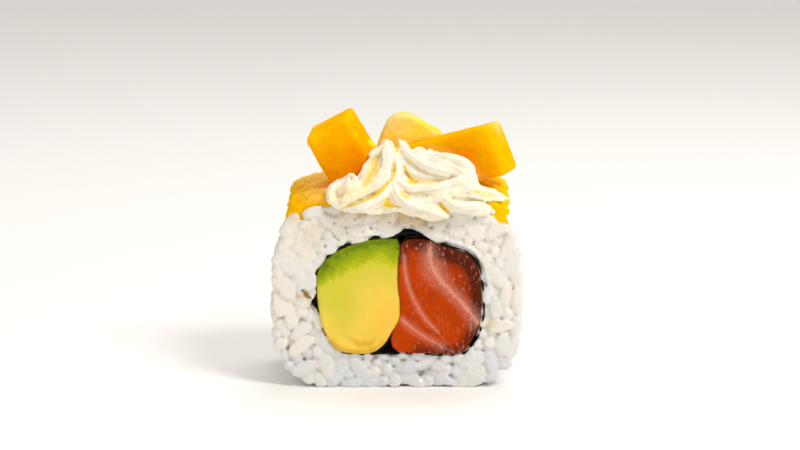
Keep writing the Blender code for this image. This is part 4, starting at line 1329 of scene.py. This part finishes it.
class URAMAKI_OT_mango_pieces(Operator):
    """Cuts the two blocks and the pale wedge of mango that stand in the cream"""

    bl_idname = "uramaki.mango_pieces"
    bl_label = "Mango pieces"

    def execute(self, context):
        sizes, colours = context.scene.uramaki_sizes, context.scene.uramaki_colours
        ripe = mango_material(
            colours, "ripe mango", colours.mango_light, colours.mango_deep, colours.mango_glow
        )
        # The pale wedge's painted edge glow takes the frost colour
        pale = mango_material(
            colours, "pale mango", colours.wedge_light, colours.wedge_deep, colours.mango_frost_and_glow
        )
        for name, (ripest, driest) in MANGO_LOOKS.items():
            is_pale = name == "mango_wedge_rear"
            piece = copy_of_node(name, name + "_flesh")
            remesh(piece, sizes.flesh_detail)
            swell(piece, MANGO_GROWTH)
            if is_pale:
                points = points_of(piece)
                low = smooth_step(46.5, 44.5, points[:, 2] / MM) * smooth_step(-2.5, 1.0, points[:, 0] / MM)
                move_points(piece, points + normals_of(piece) * (low * WEDGE_GROWTH * MM)[:, None])
            modify(piece, "SMOOTH", factor=0.5, iterations=2)
            roughen(piece, (3.0, 0.16), (0.8, 0.06))
            points = points_of(piece)
            # The ends, the faces turned to +X, are painted lighter near the ripest place and deeper
            # elsewhere: painted light and shade by the way they face
            end = smooth_step(0.35, 0.75, normals_of(piece)[:, 0])
            glow = WEDGE_GLOW if is_pale else BLOCK_GLOW
            # Ridges and edges get a painted glow
            paint(piece, "edge", glow * smooth_step(0.02, 0.5, -hollowness(piece, 24)))
            paint(piece, "ripe", near_place(points, ripest) * (1 - 0.5 * end) + 0.05 + 0.15 * end)
            beside_cream = smooth_step(1.2, 0.2, nearest_share(seen_at(points), HAZY_LINE))
            paint(piece, "frost", np.maximum(near_place(points, driest), 0.3 * beside_cream))
            finish_piece(piece, pale if is_pale else ripe, [name])
        finish_piece(self.scrap(sizes), pale)
        return {"FINISHED"}

    def scrap(self, sizes):
        """The small scrap of mango that lies between the left cube and the cream."""
        centre, size, turns = MANGO_SCRAP
        bpy.ops.mesh.primitive_cube_add(size=1.0)
        scrap = bpy.context.object
        scrap.name = "mango_scrap"
        with editing(scrap):
            bpy.ops.transform.resize(value=[side * MM for side in size])
            bpy.ops.mesh.bevel(offset=0.6 * MM, segments=3, affect="EDGES")
            for axis, degrees in zip("XYZ", turns):
                turn = math.radians(degrees)
                bpy.ops.transform.rotate(value=turn, orient_axis=axis, center_override=(0, 0, 0))
            bpy.ops.transform.translate(value=[place * MM for place in centre])
        remesh(scrap, sizes.flesh_detail)
        roughen(scrap, (1.4, 0.3))
        paint(scrap, "ripe", np.full(len(scrap.data.vertices), 0.1))
        return scrap


# Cream

# Strands of cream as they show from the front: pixels right of the view's left edge, pixels below its top,
# and radius in pixels
FRONT_STRANDS = {
    "left_ridge": (
        (386, 141, 2.0), (387, 147, 4.5), (387, 154, 6.0), (387, 161, 6.0), (386, 169, 6.0), (383, 176, 6.5),
        (377, 182, 6.8), (369, 188, 6.8), (360, 193, 6.3), (351, 197, 5.8), (345, 200, 5.2), (341, 201, 4.2),
    ),
    "left_ridge_edge": (
        (384, 165, 2.5), (381, 171, 3.0), (376, 177, 3.2), (370, 182, 3.2), (363, 187, 3.2), (356, 191, 2.8),
    ),
    "curl": (
        (347, 204, 4.4), (338, 204, 4.8), (332, 200, 5.0), (331, 194, 5.0), (334, 188, 5.2), (340, 185, 5.4),
        (346, 183, 5.6), (351, 180, 5.0), (353, 175, 2.6),
    ),
    "curl_ruffle": (
        (329, 197, 1.8), (328, 191, 2.2), (331, 186, 2.4), (337, 182, 2.4), (343, 180, 2.4), (348, 177, 2.2),
    ),
    "curl_crumbs": ((345, 178, 1.8), (349, 175, 2.0), (353, 175, 2.0), (356, 179, 2.2), (358, 184, 2.0)),
    "curl_body": ((338, 193, 5.0), (344, 191, 6.0), (351, 188, 6.0), (356, 187, 4.5)),
    "curl_top": ((339, 188, 5.0), (345, 186, 5.6), (350, 184, 5.4), (355, 184, 3.6)),
    "curl_lip": ((356, 180, 2.8), (357, 185, 3.0), (352, 190, 2.6), (345, 193, 2.0)),
    "under_ridge": (
        (391, 178, 2.4), (389, 187, 3.4), (385, 194, 4.6), (378, 199, 5.4), (368, 204, 5.6), (358, 207, 5.0),
        (349, 209, 3.8), (343, 210, 2.0),
    ),
    "under_ridge_foot": ((387, 200, 2.2), (380, 205, 2.8), (370, 209, 2.8), (360, 211, 2.5), (350, 212, 1.8)),
    "nook": ((376, 207, 2.6), (383, 206, 3.4), (389, 206, 4.0), (395, 206, 3.2)),
    "trunk": (
        (395, 156, 4.0), (398, 164, 4.4), (399, 171, 5.0), (396, 178, 5.2), (394, 185, 5.2), (396, 192, 5.2),
        (401, 198, 5.8), (408, 203, 6.0), (417, 206, 6.0), (427, 208, 5.8), (435, 210, 4.8), (443, 214, 3.8),
        (449, 217, 2.2),
    ),
    "trunk_edge": ((392, 190, 2.0), (395, 197, 2.2), (400, 204, 2.4), (407, 208, 2.4), (416, 211, 2.2)),
    "peak_ridge": (
        (399, 139, 1.5), (402, 145, 3.4), (406, 152, 4.4), (412, 158, 4.8), (420, 164, 5.0), (429, 169, 5.4),
        (439, 172, 5.8), (449, 174, 6.0),
    ),
    "inner_ridge": (
        (397, 158, 2.4), (403, 165, 2.6), (409, 171, 2.8), (417, 175, 2.8), (427, 177, 2.8), (437, 178, 3.0),
        (447, 179, 3.4),
    ),
    "crest": (
        (430, 151, 2.0), (429, 156, 5.0), (433, 161, 5.8), (441, 164, 6.0), (449, 168, 6.2), (457, 172, 6.5),
        (465, 177, 6.5),
    ),
    "crest_body": (
        (416, 162, 3.5), (424, 160, 5.0), (433, 163, 5.5), (443, 167, 5.5), (453, 172, 6.0), (462, 177, 5.5),
    ),
    "crest_fill": ((424, 163, 3.6), (432, 166, 4.6), (441, 169, 4.8), (450, 173, 4.8), (457, 177, 4.4)),
    "crest_left": ((411, 160, 4.0), (418, 159, 4.2), (424, 155, 3.6), (429, 151, 2.0)),
    "lobe_under": (
        (398, 179, 4.0), (403, 185, 4.6), (412, 188, 5.0), (423, 188, 4.8), (434, 187, 4.8), (446, 185, 5.5),
        (457, 183, 6.4), (466, 181, 6.4),
    ),
    "lobe_foot": ((424, 193, 2.4), (437, 193, 2.8), (449, 191, 3.2), (460, 188, 3.4), (469, 185, 3.0)),
    "cross_fold": (
        (398, 191, 3.5), (405, 198, 4.0), (414, 201, 4.4), (425, 201, 4.4), (434, 199, 4.2), (441, 197, 4.0),
        (447, 199, 3.5),
    ),
    "knot": (
        (439, 197, 3.2), (445, 197, 4.0), (451, 202, 4.6), (459, 206, 5.0), (469, 206, 5.0), (479, 206, 5.0),
        (487, 208, 4.4), (494, 213, 2.6),
    ),
    "knot_edge": ((455, 196, 2.6), (463, 199, 3.0), (472, 202, 3.0), (481, 204, 2.6)),
    "knot_fill": ((450, 193, 4.0), (459, 195, 4.6), (468, 196, 4.6), (477, 198, 4.2), (485, 200, 3.4)),
    "tail": (
        (470, 186, 3.6), (478, 188, 3.4), (487, 191, 3.4), (496, 194, 3.2), (503, 197, 2.6), (509, 199, 1.4),
    ),
    "tail_body": ((466, 190, 5.5), (476, 192, 6.5), (487, 195, 6.0), (497, 197, 4.2), (504, 199, 2.4)),
    "tail_middle": ((456, 188, 4.5), (468, 190, 5.0), (480, 192, 5.0), (490, 195, 4.4), (499, 198, 3.0)),
    "tail_under": ((464, 193, 3.4), (474, 195, 4.0), (485, 198, 4.0), (496, 199, 3.0), (505, 200, 1.8)),
    "peak_lobe": ((384, 147, 4.5), (379, 151, 5.0), (373, 154, 4.6), (370, 157, 3.0)),
    "peak_ear": ((381, 145, 2.4), (385, 141, 2.2), (390, 142, 2.2), (393, 147, 2.2)),
    "foot_petal": ((412, 214, 2.0), (418, 215, 2.8), (425, 217, 2.0)),
    "foot_right": ((430, 212, 2.8), (438, 214, 3.4), (446, 216, 3.0)),
    "foot_left": ((366, 212, 2.6), (374, 212, 3.4), (384, 211, 3.6), (393, 210, 3.2), (401, 210, 2.4)),
}

# Where the cream is painted yellow: the mango's light shining through it and into its deep folds, and painted
# shade on its left wall and curl. How yellow it is, how many fold depths it is pushed back, and the line with
# its half width, in the same pixels
CREAM_FOLDS = (
    (0.7, 0.0, ((375, 161, 5), (374, 169, 7), (369, 178, 6), (364, 185, 4))),
    (0.95, 0.9, ((393, 165, 1.6), (395, 171, 2.0), (392, 178, 1.8), (386, 185, 1.8), (380, 191, 2.8),
                 (375, 195, 2.6), (368, 199, 1.8), (359, 203, 1.5), (350, 206, 1.4), (342, 208, 1.2))),
    (1.0, 1.2, ((388, 199, 2.4), (387, 204, 3.8), (391, 206, 3.4))),
    (0.9, 0.6, ((380, 207, 1.0), (386, 206, 1.6), (394, 206, 1.6), (400, 207, 1.0))),
    (0.2, 0.0, ((338, 195, 12.0), (350, 195, 12.0), (364, 190, 10.0))),
    (1.0, 1.0, ((404, 166, 1.2), (407, 173, 1.6), (411, 179, 2.2), (415, 182, 2.4))),
    (1.0, 1.0, ((408, 182, 2.0), (416, 183, 2.2))),
    (0.4, 0.3, ((418, 181, 3.0), (430, 182, 3.0), (442, 181, 2.0))),
    (0.9, 0.7, ((400, 190, 1.2), (404, 196, 2.4), (408, 197, 1.8))),
    (0.3, 0.0, ((410, 196, 1.6), (432, 196, 2.0), (451, 194, 2.0), (465, 191, 1.6))),
    (1.0, 1.2, ((440, 204, 1.8), (443, 208, 2.6), (448, 212, 1.8))),
    (0.45, 0.1, ((475, 191, 3.0), (485, 194, 4.0), (495, 197, 2.4))),
    (0.6, 0.4, ((461, 196, 1.0), (472, 199, 1.3), (483, 202, 1.2))),
    (0.6, 0.7, ((338, 197, 1.8), (341, 197, 1.8))),
    (0.35, 0.0, ((341, 196, 2.6), (348, 193, 3.0), (356, 189, 2.4))),
    (1.0, 1.0, ((396, 144, 2.0), (397, 151, 2.2))),
    (0.6, 0.5, ((375, 157, 1.6), (378, 157, 1.6))),
    (0.6, 0.5, ((452, 199, 1.2), (453, 200, 1.0))),
)
FOLD_DEPTH = 0.3  # millimetres
# In the other hollows the yellow is painted shade lit by the mango
HOLLOW_YELLOW = 0.65  # how yellow the cream is in its other hollows

STRAND_SAMPLES = 8  # points between two stated points of a strand
STEEPEST_FALL = 0.8  # how fast a strand may fall away from the camera along its line
FIRST_DEPTH = VIEW_DISTANCE + 6 * MM  # how far off a strand is looked for that starts over nothing
STRAND_PROUD = 0.35  # how far a strand's middle stands before what carries it, as a share of its radius
DEPTH_ROUNDS = 6  # rounds of smoothing that even out how deep a strand lies
STRAND_RIPPLE, STRAND_WOBBLE = 0.05, 0.02  # how its radius varies, in waves and at random, as shares
STRAND_WAVE = 0.9  # radians of those waves from one sample to the next
STRAND_TWIST = 0.035  # most radians that it twists from one sample to the next

# The star-shaped tip: ridges round a strand, and the outer radius and crease depth as shares of its radius
STRAND_RIDGES = 5
STAR_RADIUS, STAR_CREASE = 1.06, 0.34

# The cream's body: its detail, its swirl's middle as X and Y in millimetres, and the ridges round it
BODY_DETAIL = 0.4 * MM
SWIRL_MIDDLE = (0.5, -4.0)
SWIRL_RIDGES = 13
RIDGE_HEIGHT, RIDGE_SINK = 0.65, 0.6  # how high a ridge is and how far its creases are sunk, in mm
RIDGE_LEAN = 2.2 * MM  # the rise over which the ridges move on by one radian of their wave
RIDGE_POWER = 0.8  # power of the wave that gives the ridges of the strands and the body

# What carries the strands, besides the cream's body
CREAM_SEATS = (
    "rice_front", "mango_drape_flesh", "mango_cube_left_flesh", "mango_block_right_flesh",
    "mango_wedge_rear_flesh",
)


def laid_on(carriers, strand):
    """A strand seen from the front, laid on what the camera sees there: X, Y, Z and radius in metres."""
    line = curve_through(strand, STRAND_SAMPLES)
    sights = [(in_view(right, down) - VIEW_EYE).normalized() for right, down, _ in line]
    depths = []
    for sight in sights:
        hits = [carrier.ray_cast(VIEW_EYE, sight) for carrier in carriers]
        found = [(spot - VIEW_EYE).dot(sight) for hit, spot, _, _ in hits if hit]
        if not found:
            # Over nothing, the strand goes as deep as the point of the cream's body that is nearest to it
            guess = VIEW_EYE + sight * (depths[-1] if depths else FIRST_DEPTH)
            _, spot, _, _ = carriers[0].closest_point_on_mesh(guess)
            found = [(spot - VIEW_EYE).dot(sight)]
        depths.append(min(found))
    # A strand bridges gaps behind it: it never falls away faster than the steepest fall
    steps = np.hypot(*np.diff(line[:, :2], axis=0).T) * VIEW_PIXEL * STEEPEST_FALL
    for index in range(1, len(depths)):
        depths[index] = min(depths[index], depths[index - 1] + steps[index - 1])
    for index in range(len(depths) - 2, -1, -1):
        depths[index] = min(depths[index], depths[index + 1] + steps[index])
    depths = np.array(depths)
    for _ in range(DEPTH_ROUNDS):
        padded = np.concatenate([depths[:1], depths, depths[-1:]])
        depths = (padded[:-2] + padded[1:-1] * 2 + padded[2:]) / 4
    return [
        (*(VIEW_EYE + sight * (depth - STRAND_PROUD * radius * VIEW_PIXEL)), radius * VIEW_PIXEL)
        for sight, depth, (_, _, radius) in zip(sights, depths, line)
    ]


def star_profile():
    """The outline that a star-shaped tip gives a strand with a radius of 1."""
    curve = bpy.data.curves.new("star_profile", "CURVE")
    curve.dimensions = "2D"
    spline = curve.splines.new("POLY")
    turns = np.linspace(0, 2 * math.pi, 8 * STRAND_RIDGES, endpoint=False)
    spline.points.add(len(turns) - 1)
    for point, turn in zip(spline.points, turns):
        radius = STAR_RADIUS - STAR_CREASE * abs(math.sin(turn * STRAND_RIDGES / 2)) ** RIDGE_POWER
        point.co = (radius * math.cos(turn), radius * math.sin(turn), 0.0, 1.0)
    spline.use_cyclic_u = True
    profile = bpy.data.objects.new("star_profile", curve)
    bpy.context.scene.collection.objects.link(profile)
    return profile


def ridged(cream):
    """Presses the ridges of the piping tip into the cream's body, turning upwards round the swirl."""
    points, normals = points_of(cream), normals_of(cream)
    turn = np.arctan2(points[:, 1] - SWIRL_MIDDLE[1] * MM, points[:, 0] - SWIRL_MIDDLE[0] * MM)
    ridge = np.abs(np.sin(turn * SWIRL_RIDGES / 2 + points[:, 2] / RIDGE_LEAN)) ** RIDGE_POWER
    points += normals * ((RIDGE_HEIGHT * ridge - RIDGE_SINK) * MM)[:, None]
    move_points(cream, points)


def strand_mesh(lines, draw):
    """The lines as ridged strands of mesh, as thick as each of their points says, each slowly twisting."""
    profile = star_profile()
    curve = bpy.data.curves.new("cream_strands", "CURVE")
    curve.dimensions = "3D"
    curve.bevel_mode = "OBJECT"
    curve.bevel_object = profile
    curve.use_fill_caps = True
    curve.twist_smooth = 2
    for line in lines:
        spline = curve.splines.new("POLY")
        spline.points.add(len(line) - 1)
        start, twist = draw.uniform(0, 2 * math.pi), draw.uniform(-STRAND_TWIST, STRAND_TWIST)
        for index, (point, (x, y, z, radius)) in enumerate(zip(spline.points, line)):
            point.co = (x, y, z, 1.0)
            ripple = STRAND_RIPPLE * math.sin(index * STRAND_WAVE + start)
            point.radius = radius * (1 + ripple + draw.normal(0, STRAND_WOBBLE))
            point.tilt = start + twist * index
    strands = bpy.data.objects.new("cream_strands", curve)
    bpy.context.scene.collection.objects.link(strands)
    only(strands)
    bpy.ops.object.convert(target="MESH")
    strands = bpy.context.object
    bpy.data.objects.remove(profile)
    return strands


def fold_in(cream):
    """Pushes the front of the cream back where its folds go deep, and gives each point's yellowness."""
    points, normals = points_of(cream), normals_of(cream)
    sight = np.array(VIEW_FORWARD)
    places = seen_at(points)
    faces_front = smooth_step(0.1, -0.2, normals @ sight)
    yellow = np.zeros(len(points))
    for strength, depth, line in CREAM_FOLDS:
        near = smooth_step(1.2, 0.4, nearest_share(places, line)) * faces_front
        points += sight * (near * FOLD_DEPTH * depth * MM)[:, None]
        yellow = np.maximum(yellow, near * strength)
    move_points(cream, points)
    return yellow


class URAMAKI_OT_cream(Operator):
    """Pipes the cream: ridged strands laid over its body and melted together"""

    bl_idname = "uramaki.cream"
    bl_label = "Cream"

    def execute(self, context):
        sizes, colours = context.scene.uramaki_sizes, context.scene.uramaki_colours
        draw = np.random.default_rng(sizes.seed)
        cream = copy_of_node("cream", "cream_body")
        remesh(cream, BODY_DETAIL)
        modify(cream, "SMOOTH", factor=0.6, iterations=6)
        ridged(cream)
        context.view_layer.update()
        carriers = [cream, *(bpy.data.objects[name] for name in CREAM_SEATS)]
        lines = [laid_on(carriers, strand) for strand in FRONT_STRANDS.values()]
        cream = joined([cream, strand_mesh(lines, draw)], "piped_cream")
        remesh(cream, sizes.cream_detail)
        modify(cream, "SMOOTH", factor=0.5, iterations=1)
        roughen(cream, (1.1, 0.14), (0.5, 0.03))
        yellow = fold_in(cream)
        modify(cream, "SMOOTH", factor=0.5, iterations=2)
        hollow = smooth_step(0.02, 0.35, hollowness(cream, 30))
        paint(cream, "groove", np.clip(np.maximum(yellow, HOLLOW_YELLOW * hollow), 0, 1))
        finish_piece(cream, cream_material(colours), ["cream"])
        return {"FINISHED"}


# Studio

# The studio's floor, which sweeps up at the back, in metres
FLOOR_SIZE, FLOOR_SHIFT = 2.4, 0.2
SWEEP_HEIGHT, SWEEP_BEND = 1.6, 0.5

# The lights: name, place and size in metres, power in watts, and colour
LIGHTS = (
    ("key", (0.34, -0.34, 0.52), 0.2, 2.35, "#FFFDF8"),
    ("fill", (-0.5, -0.45, 0.2), 0.6, 0.15, "#F4F7FF"),
    ("top", (0.1, 0.2, 0.6), 0.3, 0.95, "#FFFFFF"),
)
ROOM_COLOUR, ROOM_LIGHT = "#F6F4F1", 0.66


class URAMAKI_OT_studio(Operator):
    """Sets up the plain floor, the soft lights and the camera"""

    bl_idname = "uramaki.studio"
    bl_label = "Studio"

    def execute(self, context):
        scene = context.scene
        deselect()
        bpy.ops.mesh.primitive_plane_add(size=FLOOR_SIZE, location=(0, FLOOR_SHIFT, 0))
        sweep = context.object
        sweep.name = "studio_sweep"
        with editing(sweep, "DESELECT"):
            bpy.ops.mesh.select_mode(type="EDGE")
        corners = sweep.data.vertices
        back_edge = max(sweep.data.edges, key=lambda edge: sum(corners[v].co.y for v in edge.vertices))
        back_edge.select = True
        bpy.ops.object.mode_set(mode="EDIT")
        bpy.ops.mesh.extrude_region_move(TRANSFORM_OT_translate={"value": (0, 0, SWEEP_HEIGHT)})
        bpy.ops.object.mode_set(mode="OBJECT")
        modify(sweep, "BEVEL", width=SWEEP_BEND, segments=16, limit_method="ANGLE")
        bpy.ops.object.shade_smooth()
        sweep.data.materials.append(paper_material(scene.uramaki_colours))
        for name, spot, size, power, colour in LIGHTS:
            bpy.ops.object.light_add(type="AREA", location=spot)
            light = context.object
            light.name = name
            light.data.size = size
            light.data.energy = power
            light.data.color = linear(colour)
            towards = VIEW_TARGET - light.location
            light.rotation_euler = towards.to_track_quat("-Z", "Y").to_euler()
        world = bpy.data.worlds.new("soft room")
        world.use_nodes = True
        background = world.node_tree.nodes["Background"]
        background.inputs["Color"].default_value = opaque(linear(ROOM_COLOUR))
        background.inputs["Strength"].default_value = ROOM_LIGHT
        scene.world = world
        scene.view_settings.view_transform = "Standard"
        bpy.ops.object.camera_add()
        camera = context.object
        camera.data.lens = LENS
        camera.data.sensor_width = SENSOR_WIDTH
        camera.data.clip_start = 0.01
        axes = Matrix((VIEW_RIGHT, VIEW_UP, -VIEW_FORWARD)).transposed()
        camera.matrix_world = Matrix.Translation(VIEW_EYE) @ axes.to_4x4()
        scene.camera = camera
        return {"FINISHED"}


# Panel and registration

class URAMAKI_PT_panel(Panel):
    """Lists the pieces of the uramaki in the 3D view's sidebar"""

    bl_idname = "URAMAKI_PT_panel"
    bl_label = "Fruit uramaki"
    bl_space_type = "VIEW_3D"
    bl_region_type = "UI"
    bl_category = "Uramaki"

    def draw(self, context):
        for operator in OPERATORS:
            self.layout.operator(operator.bl_idname)
        for group in (context.scene.uramaki_sizes, context.scene.uramaki_colours):
            for name in group.__annotations__:
                self.layout.prop(group, name)


OPERATORS = (
    URAMAKI_OT_rice, URAMAKI_OT_nori, URAMAKI_OT_avocado, URAMAKI_OT_salmon, URAMAKI_OT_mango_slices,
    URAMAKI_OT_mango_pieces, URAMAKI_OT_cream, URAMAKI_OT_studio,
)
CLASSES = (UramakiSizes, UramakiColours, *OPERATORS, URAMAKI_PT_panel)


def register():
    for cls in CLASSES:
        bpy.utils.register_class(cls)
    bpy.types.Scene.uramaki_sizes = PointerProperty(type=UramakiSizes)
    bpy.types.Scene.uramaki_colours = PointerProperty(type=UramakiColours)


def unregister():
    del bpy.types.Scene.uramaki_colours
    del bpy.types.Scene.uramaki_sizes
    for cls in reversed(CLASSES):
        bpy.utils.unregister_class(cls)


def main():
    register()
    bpy.ops.uramaki.rice()
    bpy.ops.uramaki.nori()
    bpy.ops.uramaki.avocado()
    bpy.ops.uramaki.salmon()
    bpy.ops.uramaki.mango_slices()
    bpy.ops.uramaki.mango_pieces()
    bpy.ops.uramaki.cream()
    bpy.ops.uramaki.studio()


if __name__ == "__main__":
    main()
